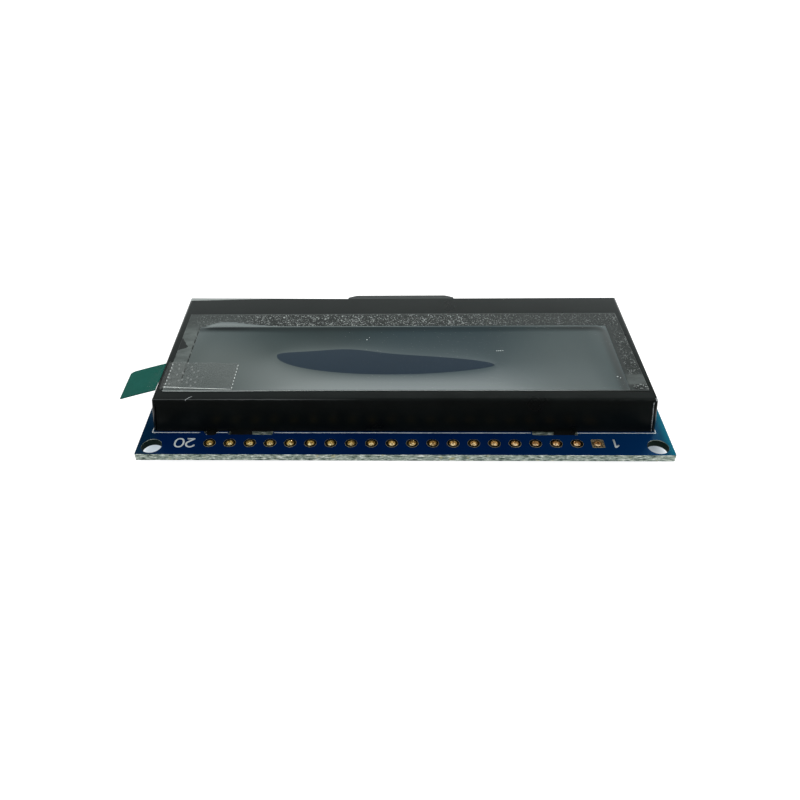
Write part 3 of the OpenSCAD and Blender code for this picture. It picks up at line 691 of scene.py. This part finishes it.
def filmOverAir():
    # film with air behind it: a grey-green mirror with a faint haze, painted darker in its steep lip as a dark
    # reflection, a painted highlight as a pale line where it bends over the window's edge, and a few specks of
    # dust
    gloss = {"Roughness": 0.1, "SpecularIORLevel": 1.0, "CoatWeight": 1.0, "CoatRoughness": 0.08}
    mat, add, shader, place, slow = newMaterial("clearFilmOverAirGap", [(9, 4.0)], **gloss)
    tone = add("ValToRGB", {"Fac": slow}, film["haze"])
    x, y = add("SeparateXYZ", {0: place}).outputs[:2]
    # lighter at the front left and bluer over the middle, with a painted dark reflection in the lip that is
    # browner to the right
    off = add("Math", {0: x, 1: film["hazeMiddleX"]}, operation="SUBTRACT")
    off = add("Math", {0: off}, operation="ABSOLUTE")
    shares = []
    for value, key in ((x, "hazeLeftX"), (y, "hazeLeftY"), (off, "hazeMiddleReach"), (x, "lipRightX")):
        start, full = film[key]
        shares.append(add("MapRange", {"Value": value, "From Min": start, "From Max": full}))
    left, near, middle, right = shares
    lighterFrontLeft = add("Math", {0: left, 1: near}, operation="MULTIPLY")
    lipReflectionTone = add("Mix", {0: right, 6: film["lipLeft"], 7: film["lipRight"]}, data_type="RGBA")
    lip, bead = [add("Attribute", attribute_name=name).outputs["Fac"] for name in ("lip", "bead")]
    flat = add("VectorMath", {0: place, 1: (1, 1, 0)}, operation="MULTIPLY")
    dust = 0.0
    for speckX, speckY, size in film["specks"]:
        away = add("VectorMath", {0: flat, 1: (speckX, speckY, 0)}, operation="DISTANCE")
        speck = add("Math", {0: away, 1: size}, operation="LESS_THAN")
        dust = add("Math", {0: dust, 1: speck}, operation="MAXIMUM")
    hazes = (lighterFrontLeft, film["hazeLeft"]), (middle, film["hazeMiddle"])
    for share, colour in (*hazes, (lip, lipReflectionTone), (bead, film["bend"]), (dust, film["dust"])):
        tone = add("Mix", {0: share, 6: tone, 7: colour}, data_type="RGBA")
    feed(shader, {"Base Color": tone})
    return mat


def filmCutEdgeHighlight():
    # the film's front edge: a painted highlight along the cut, bright at the left and dulling to the right
    mat, add, shader, place = newMaterial("clearFilmCutEdgeHighlight", Roughness=0.35)
    x = add("SeparateXYZ", {0: place}).outputs["X"]
    start, end = film["cutEdgeX"]
    along = add("MapRange", {"Value": x, "From Min": start, "From Max": end})
    feed(shader, {"Base Color": add("ValToRGB", {"Fac": along}, film["cutEdge"])})
    return mat


def filmMargin():
    # film lying on the black border: grey where it half sticks, speckled where tiny bubbles are caught,
    # and clear where it has wetted on
    noises = (0.16, 1.0), (0.9, 2.0), (0.5, 3.0)
    satin = {"Roughness": 0.35, "SpecularIORLevel": 0.3}
    mat, add, shader, place, grain, clump, edge = newMaterial("clearFilmOnSteel", noises, **satin)
    marks = [add("Attribute", attribute_name=name).outputs["Fac"] for name in ("veil", "bubbles", "wetted")]
    veiled, caught, wet = marks
    # streaks about 2 mm long and 1 mm wide
    flow = add("Mapping", {"Vector": place, "Scale": (0.45, 1.1, 1.0)})
    streak = add("TexNoise", {"Vector": flow, "Scale": 1.0, "Detail": 5.0, "Roughness": 0.6})
    veil = add("ValToRGB", {"Fac": streak}, film["veil"])
    # bubbles 0.15 mm across, gathered in clumps of about 1 mm
    both = add("Mix", {0: 0.16, 2: grain, 3: clump})
    bubbles = add("ValToRGB", {"Fac": both}, film["grain"])
    # the wetted part has a ragged edge
    ragged = add("Math", {0: edge, 1: 0.5, 2: wet}, operation="MULTIPLY_ADD")
    clear = add("Math", {0: ragged, 1: 0.25}, operation="GREATER_THAN")
    tone = film["stuck"]
    for share, colour in ((veiled, veil), (caught, bubbles), (clear, film["wetted"])):
        tone = add("Mix", {0: share, 6: tone, 7: colour}, data_type="RGBA")
    height = add("Math", {0: grain, 1: caught}, operation="MULTIPLY")
    feed(shader, {"Base Color": tone, "Normal": add("Bump", {"Height": height, "Distance": 0.04 * mm})})
    return mat


def filmMarks(piece, x, y):
    # what the film's looks read at each point, as products of soft steps in x and y
    windowRow = sum(film["rows"][:2])
    back, depth = film["sheet"][3], lipDepth(x, y)
    # the lip's painted dark reflection is strongest at the left crease and the right end
    strong = 0.3 + 0.2 * smoothStep(10, -6, x) + 0.45 * hump(x, -24, 4) + 0.5 * smoothStep(18, 26, x)
    addAttribute(piece, "lip", strong * smoothStep(-0.05, 0.3, depth) * smoothStep(1.5, 0.4, depth))
    # a painted highlight on the pale line where the film bends over the window's edge
    bendHighlightShare = smoothStep(-27.5, -25, x) * (0.3 + 0.5 * smoothStep(8, -4, x)) * smoothStep(28, 20, x)
    addAttribute(piece, "bead", bendHighlightShare * hump(depth, -0.02, 0.11))
    # the veil is thick at the left end, on a smooth place at the right front and behind the crease
    leftVeil = smoothStep(-27.6, -28.2, x) * smoothStep(5.0, 3.0, y)
    flatRight = smoothStep(28.0, 28.4, x) * smoothStep(-6.6, -7.2, y) * smoothStep(-9.3, -8.8, y)
    crease = hump(x, -24, 4.5) * smoothStep(7.0, 5.0, y) * smoothStep(4.2, 4.5, y)
    veil = 0.18 + 0.2 * smoothStep(-12, -22, x) + 0.55 * leftVeil + 0.4 * flatRight + 0.25 * crease
    # dark dashes where the film parts from the window's left edge
    row, down = np.indices(x.shape)
    down = down - 2 * film["frontColumns"] - film["sideColumns"]
    atEdge = (down > 0) & (down < 52) & (row > windowRow) & (row <= windowRow + 2)
    dash = atEdge & (np.sin(down * 2.3) + np.sin(down * 0.9 + 1) > -0.5)
    addAttribute(piece, "veil", np.where(dash, 0, np.clip(veil, 0, 1)))
    # bubbles lie behind the window, fewer to the right, and in two patches at the right end
    behind = smoothStep(4.4, 4.7, y) * (0.3 * smoothStep(-30, -28, x) + 0.7 * smoothStep(-26, -18, x))
    behind = behind * (1 - 0.65 * smoothStep(4, 20, x))
    patches = np.maximum(smoothStep(-7.2, -6.5, y), smoothStep(-8.8, -9.2, y))
    right = (0.5 + 0.4 * smoothStep(-8.6, -9.2, y)) * smoothStep(28.4, 28.9, x) * patches
    right = right * (0.35 + 0.65 * smoothStep(4, 1, y))
    addAttribute(piece, "bubbles", np.clip(behind + right, 0, 1) * smoothStep(back, 7.4, y))
    # a notch in the left edge where the film has wetted on: it deepens slowly forwards and ends short
    deep = 1.3 * np.minimum(np.clip((1.7 - y) / 2.35, 0, 1), np.clip((y + 1.3) / 0.65, 0, 1))
    addAttribute(piece, "wetted", np.where(x < -27, deep - (x - film["sheet"][0]), -2))


def protectiveFilm():
    # loops of points from the middle of the patch to its edge, to the window, and to the film's own edge
    left, right, front, back = film["sheet"]
    windowRight, windowFront = film["window"][1:3]
    patchRows, slopeRows, marginRows = film["rows"]
    windowRow = patchRows + slopeRows
    cut = film["edge"]
    rim, middle = patchLoops()
    window, outer = loopRound(*film["window"]), loopRound(*film["sheet"])
    inner = loopRound(left + cut, right - cut, front + cut, back - cut)
    between = lambda a, b, t: a + (b - a) * t[:, None, None]
    patch = between(middle, rim, np.linspace(0, 1, patchRows + 1))
    slope = between(rim, window, 1 - (1 - np.linspace(0, 1, slopeRows + 1)[1:]) ** 1.6)
    margin = between(window, inner, np.linspace(0, 1, marginRows + 1)[1:] ** 1.4)
    flat = np.concatenate([patch, slope, margin, outer[None]])
    x, y = flat[..., 0], flat[..., 1]
    # the right edge is cut slightly askew, wider towards the front,
    # and the front edge draws back from the left corner
    out = np.clip((x - windowRight) / (right - windowRight), 0, 1)
    x = x + film["askew"] * out * (back - y) / (back - front)
    out = np.clip((windowFront - y) / (windowFront - front), 0, 1)
    y = y + film["frontAskew"] * out * smoothStep(*film["frontAskewX"], x)
    # one clear film in four looks: over air, on the display, on the steel, and its cut front edge with a
    # painted highlight
    touching = plainFinish("clearFilmOnDisplay", film["contact"], 6.0, 0.8, 0.0004, Roughness=0.08)
    looks = [filmOverAir(), touching, filmMargin(), filmCutEdgeHighlight()]
    faces = gridFaces(*x.shape, closeColumns=True)
    row, column = np.divmod(np.arange(len(faces)), x.shape[1])
    kind = np.select([row < patchRows, row < windowRow], [1, 0], 2)
    kind = np.where((row == windowRow + marginRows) & (column < film["frontColumns"]), 3, kind)
    # the film stands clear of the bezel as far as the line where it lands
    faceX, faceY = x.ravel()[faces].mean(1), y.ravel()[faces].mean(1)
    lifted = (row >= windowRow) & (faceX > -27.3) & (faceX < 27) & (faceY > 4) & (faceY < creaseLine(faceX))
    kind = np.where(lifted, 0, kind)
    points = pointsOf(x, y, filmTop(x, y))
    stands = ["protective_film"]
    piece = addMesh("protectiveFilm", points, faces, looks, stands, kind, turn=True)
    filmMarks(piece, x, y)
    piece.modifiers.new("middle", "WELD").merge_threshold = 0.001 * mm
    thicken(piece, film["thick"], -1)


protectiveFilm()
print("protective film made")


tape = {
    "sheet": (-32.4, -21.35, -10.0, -4.2),  # left, right, front, back
    "turn": -30.75,  # x where it turns down, and by how many degrees
    "droop": 17.0,
    "fold": 0.45,
    "gap": 0.03,
    "thick": 0.05,
    "cells": (90, 40),
    "body": "#787a78",
    # white of the caught air, also used for the painted edge highlights
    "bright": "#d5dad8",
    "airX": (-24.0, -26.5),
    "stuckX": -30.2,
    "clearX": (-30.65, -30.5),
    "dashPitch": 0.7,
    "leftEdge": (-30.0, 0.055),  # middle and half width of each painted white edge highlight
    "rightEdge": (-21.42, 0.055),
    "frontEdge": (-10.98, 0.03),
    "frontSlant": 0.0465,
}


def droopAt(x):
    # drop past the bezel's left fold: an arc on the fold's radius, then a straight slope
    slope = math.tan(math.radians(tape["droop"]))
    run, d = tape["fold"] * slope, np.maximum(tape["turn"] - x, 0)
    return np.where(d < run, d * d / (2 * tape["fold"]), (d - run / 2) * slope)


def clearTape():
    # clear polypropylene tape: a faint grey veil, with white where air is caught under it
    # and painted white highlights along its cut edges
    mat, add, shader, place = newMaterial("clearTape", Roughness=0.16)
    x, y = add("SeparateXYZ", {0: place}).outputs[:2]
    fine = add("TexNoise", {"Vector": place, "Scale": 1 / 0.22, "Detail": 2.0, "Roughness": 0.65})
    # specks of air about 0.2 mm wide and 0.35 mm long, one to a square millimetre, in the left half
    spread = add("Mapping", {"Vector": place, "Scale": (1.25, 0.75, 0.0)})
    away = add("TexVoronoi", {"Vector": spread, "Scale": 1.0}, voronoi_dimensions="2D")
    speck = add("MapRange", {"Value": away, "From Min": 0.22, "From Max": 0.12, "To Max": 0.31})
    start, full = tape["airX"]
    leftPart = add("MapRange", {"Value": x, "From Min": start, "From Max": full})
    airAndEdgeHighlight = add("Math", {0: speck, 1: leftPart}, operation="MULTIPLY")
    # painted highlights: white dashes along the two ends, and a thin shine on the front edge, slightly askew
    dash = add("Math", {0: y, 1: 2 * math.pi / tape["dashPitch"]}, operation="MULTIPLY")
    dash = add("Math", {0: dash}, operation="SINE")
    dash = add("MapRange", {"Value": dash, "From Min": 0.1, "From Max": 0.3, "To Max": 0.75})
    askew = add("Math", {0: x, 1: tape["frontSlant"], 2: y}, operation="MULTIPLY_ADD")
    for value, edge, share in ((x, "leftEdge", dash), (x, "rightEdge", dash), (askew, "frontEdge", 1.0)):
        middle, half = tape[edge]
        line = add("Math", {0: value, 1: middle, 2: half}, operation="COMPARE")
        line = add("Math", {0: line, 1: share}, operation="MULTIPLY")
        airAndEdgeHighlight = add("Math", {0: airAndEdgeHighlight, 1: line}, operation="MAXIMUM")
    stuck = add("Math", {0: x, 1: tape["stuckX"]}, operation="GREATER_THAN")
    airAndEdgeHighlight = add("Math", {0: airAndEdgeHighlight, 1: stuck}, operation="MULTIPLY")
    tone = add("Mix", {0: airAndEdgeHighlight, 6: tape["body"], 7: tape["bright"]}, data_type="RGBA")
    # nearly unseen past the film's edge
    start, full = tape["clearX"]
    onFilm = add("MapRange", {"Value": x, "From Min": start, "From Max": full, "To Min": 0.01, "To Max": 0.1})
    solid = add("Math", {0: airAndEdgeHighlight, 1: 0.75}, operation="MULTIPLY")
    alpha = add("Math", {0: solid, 1: onFilm}, operation="MAXIMUM")
    relief = add("Bump", {"Height": fine, "Distance": 0.002 * mm})
    feed(shader, {"Base Color": tone, "Alpha": alpha, "Normal": relief})
    return mat


def tabTape():
    # sheet that follows the film, then turns down over the bezel's left fold
    left, right, front, back = tape["sheet"]
    columns, rows = tape["cells"]
    x, y = np.meshgrid(np.linspace(left, right, columns), np.linspace(front, back, rows))
    points = pointsOf(x, y, filmTop(x, y) + tape["gap"] - droopAt(x))
    piece = addMesh("tabTape", points, gridFaces(*x.shape), [clearTape()], ["tab_tape"])
    thicken(piece, tape["thick"], 1)


tabTape()


pull = {
    "root": -31.2,
    "front": -10.0,
    "wide": 5.8,
    "long": 4.98,
    "nearR": 0.12,
    "farR": 0.55,
    "thick": 0.08,
    "below": 0.02,
    "bow": 0.1,
    "tuck": (0.06, 0.1),  # at the front, and more at the back
    "cells": (40, 60),
    "green": [(0.3, "#06453b"), (0.7, "#094c43")],
}


def pullTab():
    # strip that droops from under the tape: straight along its length with a slight bow,
    # its outer corners rounded
    along, across = pull["cells"]
    s = np.linspace(0, 1, along)[None, :]
    v = np.linspace(0, 1, across)[:, None]
    wide, near, far = pull["wide"], pull["nearR"], pull["farR"]
    y = pull["front"] + wide * v
    corner = lambda r, d: r - np.sqrt(np.maximum(r * r - np.maximum(r - d, 0) ** 2, 0))
    length = pull["long"] - corner(near, wide * v) - corner(far, wide * (1 - v))
    run = s * length
    tilt = math.radians(tape["droop"])
    rise = pull["bow"] * s * (1 - s)
    # the root tucks in under the tape, most at the back
    least, more = pull["tuck"]
    tuck = (least + more * smoothStep(0.15, 0.5, v)) * (1 - s)
    x = pull["root"] + tuck - run * math.cos(tilt)
    rootZ = film["top"] + tape["gap"] - pull["below"] - droopAt(np.array(pull["root"]))
    points = pointsOf(x, y, rootZ - run * math.sin(tilt) + rise)
    # extruded polyester film, dyed through: an even satin green
    satin = {"Roughness": 0.4, "SpecularIORLevel": 0.03}
    green = plainFinish("greenPolyesterFilm", pull["green"], 4.0, 0.5, 0.002, **satin)
    faces = gridFaces(*points.shape[:2])
    piece = addMesh("pullTab", points, faces, [green], ["pull_tab"], turn=True)
    thicken(piece, pull["thick"], -1)


pullTab()
print("tape and pull tab made")


under = {
    "trackWide": 0.26,
    "trackRise": 0.03,
    "trackBend": 0.25,
    "trackTurnY": 3.0,
    "flexEnd": boxOf("flex_tail")[0][1],
    "jointX": (np.arange(12) - 5.5) * 0.9,
    "jointHalf": (0.28, 0.575, 0.25),
    "capacitorX": (np.arange(8) - 3.5) * 2.8,
    "capacitorY": np.mean(boxOf("chip_capacitors"), 0)[1],
    "capacitorHigh": 0.8,
    "resistorX": headerX[-1] + np.arange(3) * 2.2,
    "resistorY": np.mean(boxOf("chip_resistors"), 0)[1],
    "resistorHigh": 0.45,
    "chipLong": 1.6,
    "chipWide": 0.8,
    "chipEnd": 0.35,
    "leads": np.mean(boxOf("backlight_leads"), 0)[:2] + [[0, -2.54], [0, 2.54]],
    "leadR": 0.27,
    "filletWide": 0.45,
    "filletHigh": 0.56,
    "tin": [(0.3, "#a9abad"), (0.7, "#cfd1d2")],
    "ceramic": [(0.3, "#8f6f4b"), (0.7, "#a98863")],
    "glaze": [(0.3, "#17181a"), (0.7, "#202226")],
}


def backTracks():
    # copper under the mask: straight runs with 45 degree turns from the tail's joints to the header,
    # and short stubs
    mask = plainFinish("solderMaskOnCopper", board["track"], 5.0, 0.4, 0.003, Roughness=0.22)
    joints, caps = under["jointX"], under["capacitorX"]
    joint, turnY = under["flexEnd"] - 1.0, under["trackTurnY"]
    cap, res = under["capacitorY"], under["resistorY"]
    (leadX, leadY), foot = under["leads"][0], header["y"] + 0.8
    first, last = headerX[0], headerX[-1]
    routes = []
    for a, b in zip(joints[[0, 2, 3, 5, 6, 8, 9, 11]], headerX[13:5:-1]):
        routes.append([(a, joint), (a, turnY), (b, turnY - abs(b - a)), (b, foot)])
    for a, c in zip(joints[[1, 4, 7, 10]], caps[2:6]):
        routes.append([(a, joint), (a, joint - 0.4), (c, joint - 0.7), (c, cap + 0.7)])
    for c in caps:
        routes.append([(c, cap - 0.7), (c, cap - 1.2), (c + 0.6, cap - 1.8), (c + 0.6, cap - 2.0)])
    routes.append([(last, res - 0.7), (last, foot)])
    routes.append([(leadX, leadY - 0.7), (leadX, leadY - 1.8), (first, foot + 0.6), (first, foot)])
    t = np.linspace(0, 1, 8)[:, None]
    strips = []
    for route in routes:
        corners = roundCorners(route, under["trackBend"])
        runs = [a + (b - a) * t[:-1] for a, b in zip(corners[:-1], corners[1:])]
        path = np.concatenate(runs + [corners[-1:]])
        keep = np.concatenate([[True], np.linalg.norm(np.diff(path, axis=0), axis=1) > 1e-4])
        strips.append(ribbon(path[keep], under["trackWide"], 0.0, -under["trackRise"]))
    points, faces = joinGrids(strips, closeColumns=True)
    addMesh("backTracks", points, faces, [mask])


def tinFinish(name, rough):
    # tin-silver solder and tinned ends: bright grey, slightly dimpled as it froze
    return plainFinish(name, under["tin"], 0.5, 0.18, 0.02, Metallic=1.0, Roughness=rough)


def chipParts(name, chip, bodyMaterial, tin, stands):
    # each chip is a soft-edged body with two tinned ends, and a low fillet of solder at each end
    xs, y, high = under[chip + "X"], under[chip + "Y"], under[chip + "High"]
    long, wide, end = under["chipLong"] / 2, under["chipWide"] / 2, under["chipEnd"] / 2
    bodies = [superBox((x, y, -high / 2), (wide - 0.02, long - 0.06, high / 2 - 0.02), 0.15) for x in xs]
    ends, fillets = [], []
    for x in xs:
        for s in (-1, 1):
            ends.append(superBox((x, y + s * (long - end), -high / 2), (wide, end, high / 2), 0.2))
            fillets.append(superBox((x, y + s * (long - 0.02), -0.02), (wide * 0.95, 0.26, high * 0.45), 0.6))
    points, faces = joinGrids(bodies + ends + fillets, closeColumns=True)
    points[:, 2] = np.minimum(points[:, 2], 0)
    each = bodies[0].shape[1] * (bodies[0].shape[0] - 1)
    kind = (np.arange(len(faces)) >= each * len(bodies)).astype(int)
    addMesh(name, points, faces, [bodyMaterial, tin], stands, kind)


def solderBeads(tin):
    # half-round beads on the tail's fingers
    beads = [superBox((x, under["flexEnd"] - 0.5, 0), under["jointHalf"], 0.75) for x in under["jointX"]]
    points, faces = joinGrids(beads, closeColumns=True)
    points[:, 2] = np.minimum(points[:, 2], 0)
    addMesh("flexSolderBeads", points, faces, [tin], ["flex_solder_joints"])


def leadFillets(tin):
    # solder drawn up each lead: a hollow curve turned round it
    h = np.linspace(0, 1, 14)
    section = np.stack([under["leadR"] + under["filletWide"] * (1 - h) ** 2.2, -under["filletHigh"] * h], 1)
    section = np.concatenate([[(0, 0)], section, [(0, -under["filletHigh"] - 0.02)]])
    angle = np.linspace(0, 2 * math.pi, 32, endpoint=False)[:, None]
    r, z = section.T
    cones = [pointsOf(x + r * np.cos(angle), y + r * np.sin(angle), z) for x, y in under["leads"]]
    points, faces = joinGrids(cones, closeRows=True)
    addMesh("leadSolderFillets", points, faces, [tin], ["lead_solder_joints"], turn=True)


tin = tinFinish("reflowedTinSolder", 0.28)
# fired barium ceramic is a dull tan, and the resistors' glaze is black and smooth
ceramic = plainFinish("firedCeramic", under["ceramic"], 0.8, 0.1, 0.006, Roughness=0.5)
glaze = plainFinish("glazedResistorBody", under["glaze"], 0.8, 0.1, 0.004, Roughness=0.35)
backTracks()
chipParts("chipCapacitors", "capacitor", ceramic, tin, ["chip_capacitors"])
chipParts("chipResistors", "resistor", glaze, tin, ["chip_resistors"])
solderBeads(tin)
leadFillets(tin)
print("back of the board made")


tail = {
    "film": [(0.3, "#8a5216"), (0.7, "#a5691f")],
    "copper": "#c98a3a",
    "pitch": 0.9,
}


def flexFilm():
    # polyimide film over etched copper: glossy amber, with the lines showing paler through it
    mat, add, shader, place, cloud = newMaterial("polyimideOverCopper", [(2, 3.0)], Roughness=0.22)
    x = add("SeparateXYZ", {0: place}).outputs["X"]
    wave = add("Math", {0: x, 1: 2 * math.pi / tail["pitch"]}, operation="MULTIPLY")
    wave = add("Math", {0: wave}, operation="COSINE")
    line = add("MapRange", {"Value": wave, "From Min": -0.5, "From Max": -0.2, "To Min": 0.8, "To Max": 0.0})
    amber = add("ValToRGB", {"Fac": cloud}, tail["film"])
    tone = add("Mix", {0: line, 6: amber, 7: tail["copper"]}, data_type="RGBA")
    feed(shader, {"Base Color": tone, "Normal": add("Bump", {"Height": line, "Distance": 0.01 * mm})})
    return mat


# the display's inner layers, which show only when the module is taken apart: finish, dark and light tone,
# clouds, specks and bump in mm, roughness, and the solids that have it
innerLayers = (
    # stretched and dyed: near black and smooth
    ("iodinePolariserFilm", "#10151b", "#171e26", 8.0, 0.6, 0.001, 0.15, "front_polarizer", "rear_polarizer"),
    # drawn: a pale green with a mirror's gloss
    ("drawnSodaLimeGlass", "#9fbdb4", "#b3ccc4", 10.0, 1.0, 0.0005, 0.04, "front_glass", "rear_glass"),
    # ground and polished: even grey
    ("polishedSilicon", "#4b4e55", "#5c6068", 1.5, 0.2, 0.001, 0.2, "driver_chip"),
    # coated with beads: white without a shine
    ("mattDiffuserFilm", "#e4e6e2", "#eff1ee", 5.0, 0.2, 0.01, 0.7, "diffuser_film"),
    # cast: clear and faintly blue
    ("castAcrylic", "#d3dfe6", "#dfe9ee", 9.0, 0.5, 0.001, 0.06, "light_guide"),
    # foamed and drawn: bright white satin
    ("whiteReflectorFilm", "#ecece9", "#f4f4f2", 6.0, 0.3, 0.002, 0.3, "reflector_film"),
    # moulded: warm white with a fine texture
    ("mouldedWhitePolycarbonate", "#e3e1d8", "#eceae2", 6.0, 0.25, 0.006, 0.45, "backlight_frame"),
    # laminate under white mask: cool white
    ("whiteMaskedStripBoard", "#d5d8d2", "#dee0da", 3.0, 0.25, 0.004, 0.4, "led_board"),
    # filled resin: soft yellow
    ("phosphorFilledPackage", "#e6d685", "#f1e4a0", 1.0, 0.15, 0.006, 0.5, "backlight_leds"),
    # foamed: cream and dull
    ("foamTape", "#cfc9b4", "#dad4c0", 3.0, 0.2, 0.02, 0.8, "mounting_tape"),
)
dress(flexFilm(), "flex_tail")
for name, dark, light, cloud, speck, bump, rough, *nodes in innerLayers:
    dress(plainFinish(name, [(0.3, dark), (0.7, light)], cloud, speck, bump, Roughness=rough), *nodes)
dress(tinFinish("tinnedCopperLead", 0.3), "backlight_leads")
print("inner layers finished")


studio = {
    "floor": -1.1,
    "floorHalf": 3.0,  # in metres, as are the lamps' places and sizes
    "floorReflects": 0.85,
    "floorShown": 0.3,
    "floorGlow": 0.96,
    "floorMirrored": 0.12,
    "mirrorY": (15.6, 16.6),
    "shadeSide": (31.6, 33.65),
    "shadeFront": (13.9, 15.1),
    "shadeLeft": 0.5,
    "shadeRight": 0.27,
    "shadeTint": (0.86, 1.0, 1.1, 1.0),
    "horizon": 1.1,
    "tint": (0.92, 1.0, 0.985),
    "cool": (0.84, 1.0, 1.01),
    "tilt": 0.45,
    "walls": [(0.007, 1.0), (0.129, 0.72), (0.205, 0.5), (0.287, 0.34), (0.414, 0.2), (1.0, 0.15)],
    "lamps": (  # name, power, place, size, and whether a gloss mirrors it
        ("key", 3.4, (0.106, 0.396, 0.287), 0.25, False),
        ("fill", 0.8, (-0.095, -0.40, 0.42), 0.16, False),
        ("strip", 0.85, (-0.114, -0.2, 0.56), (0.16, 0.03), True),
        ("glint", 0.2, (0.33, -0.08, 0.29), 0.05, True),
    ),
    "lens": 35.429,
    "sensor": 36.0,
    "shift": 0.0421,
    "cameraAt": (-0.956, -88.087, 65.792),
    "cameraTurns": (("Z", 2.587), ("X", 51.889), ("Z", -1.594)),
}


def makeFloor():
    # white table: seen directly it is lifted to white and keeps a soft shadow, with a painted bluish shadow
    # under the board;
    # in a gloss it is painted bright under the board and dim before it, as the front of the room was;
    # from below it is clear
    mat = bpy.data.materials.new("whiteTable")
    mat.use_nodes = True
    tree = mat.node_tree
    tree.nodes.remove(tree.nodes["Principled BSDF"])
    add = partial(addNode, tree)
    light = add("LightPath").outputs
    seen = add("Math", {0: light["Is Camera Ray"], 1: light["Is Transmission Ray"]}, operation="MAXIMUM")
    place = add("TexCoord").outputs["Object"]
    place = add("VectorMath", {0: place, 1: (1 / mm, -1 / mm, 0)}, operation="MULTIPLY")
    x, y = add("SeparateXYZ", {0: place}).outputs[:2]
    # painted shadow under the board, deeper to the right, which shows through the front holes
    outside = []
    for value, (start, full) in ((x, studio["shadeSide"]), (y, studio["shadeFront"])):
        aside = add("Math", {0: value}, operation="ABSOLUTE")
        out = add("MapRange", {"Value": aside, "From Min": start, "From Max": full})
        outside.append(add("Math", {0: out, 1: out}, operation="MULTIPLY"))
    clearOf = add("Math", {0: outside[0], 1: outside[1]}, operation="MAXIMUM")
    left, right, glow = studio["shadeLeft"], studio["shadeRight"], studio["floorGlow"]
    shade = add("MapRange", {"Value": x, "From Min": -1.0, "To Min": left, "To Max": right})
    lit = add("MapRange", {"Value": clearOf, "To Min": shade, "To Max": glow})
    hue = add("Mix", {0: clearOf, 6: studio["shadeTint"], 7: (1, 1, 1, 1)}, data_type="RGBA")
    start, full = studio["mirrorY"]
    dim = {"From Min": start, "From Max": full, "To Min": glow, "To Max": studio["floorMirrored"]}
    mirrored = add("MapRange", {"Value": y, **dim})
    mirrored = add("Emission", {"Color": (1, 1, 1, 1), "Strength": mirrored})
    greys = [(studio[key],) * 3 + (1,) for key in ("floorReflects", "floorShown")]
    matt, shown = [add("BsdfDiffuse", {"Color": grey}) for grey in greys]
    matt = add("MixShader", {0: light["Is Glossy Ray"], 1: matt, 2: mirrored})
    lifted = add("AddShader", {0: shown, 1: add("Emission", {"Color": hue, "Strength": lit})})
    table = add("MixShader", {0: seen, 1: matt, 2: lifted})
    below = add("NewGeometry").outputs["Backfacing"]
    both = add("MixShader", {0: below, 1: table, 2: add("BsdfTransparent")})
    feed(tree.nodes["Material Output"], {"Surface": both})
    half, z = studio["floorHalf"], studio["floor"] * mm
    mesh = bpy.data.meshes.new("floor")
    corners = [(-half, -half, z), (half, -half, z), (half, half, z), (-half, half, z)]
    mesh.from_pydata(corners, [], [(0, 1, 2, 3)])
    mesh.materials.append(mat)
    floor = bpy.data.objects.new("floor", mesh)
    bpy.context.scene.collection.objects.link(floor)


def makeSky():
    # pale studio walls behind the module that fall off to a dim ceiling and a dim room behind the camera
    world = bpy.data.worlds.new("studio")
    bpy.context.scene.world = world
    world.use_nodes = True
    tree = world.node_tree
    add = partial(addNode, tree)
    y, z = add("SeparateXYZ", {0: add("TexCoord").outputs["Generated"]}).outputs[1:]
    level = add("Math", {0: y, 1: -studio["tilt"], 2: z}, operation="MULTIPLY_ADD")
    walls = []
    for place, bright in studio["walls"]:
        colour = [bright * (w * bright + c * (1 - bright)) for w, c in zip(studio["tint"], studio["cool"])]
        walls.append((place, (*colour, 1)))
    shade = add("ValToRGB", {"Fac": level}, walls)
    feed(tree.nodes["Background"], {"Color": shade, "Strength": studio["horizon"]})


def addLamp(name, power, at, size, mirrored):
    # soft lamp: a square one looks at the module and a strip looks straight down;
    # where not mirrored, it lights without a spot of its own in the film
    lamp = bpy.data.lights.new(name, "AREA")
    lamp.energy = power
    thing = bpy.data.objects.new(name, lamp)
    thing.matrix_world = Matrix.Translation(at)
    if isinstance(size, tuple):
        lamp.shape = "RECTANGLE"
        lamp.size, lamp.size_y = size
    else:
        lamp.size = size
        thing.matrix_world = thing.matrix_world @ (-Vector(at)).to_track_quat("-Z", "Y").to_matrix().to_4x4()
    thing.visible_glossy = mirrored
    bpy.context.scene.collection.objects.link(thing)


def makeCamera():
    # the photograph's viewpoint: 38 degrees down, from in front of the header row;
    # the picture is cut from a wider one
    cam = bpy.data.cameras.new("camera")
    cam.lens = studio["lens"]
    cam.sensor_width = studio["sensor"]
    cam.shift_x = studio["shift"]
    cam.clip_start = 0.005
    thing = bpy.data.objects.new("camera", cam)
    place = Matrix.Translation([v * mm for v in studio["cameraAt"]])
    for axis, degrees in studio["cameraTurns"]:
        place = place @ Matrix.Rotation(math.radians(degrees), 4, axis)
    thing.matrix_world = place
    bpy.context.scene.collection.objects.link(thing)
    bpy.context.scene.camera = thing


makeFloor()
makeSky()
for lamp in studio["lamps"]:
    addLamp(*lamp)
makeCamera()
bpy.context.scene.view_settings.view_transform = "Standard"
print("studio set")
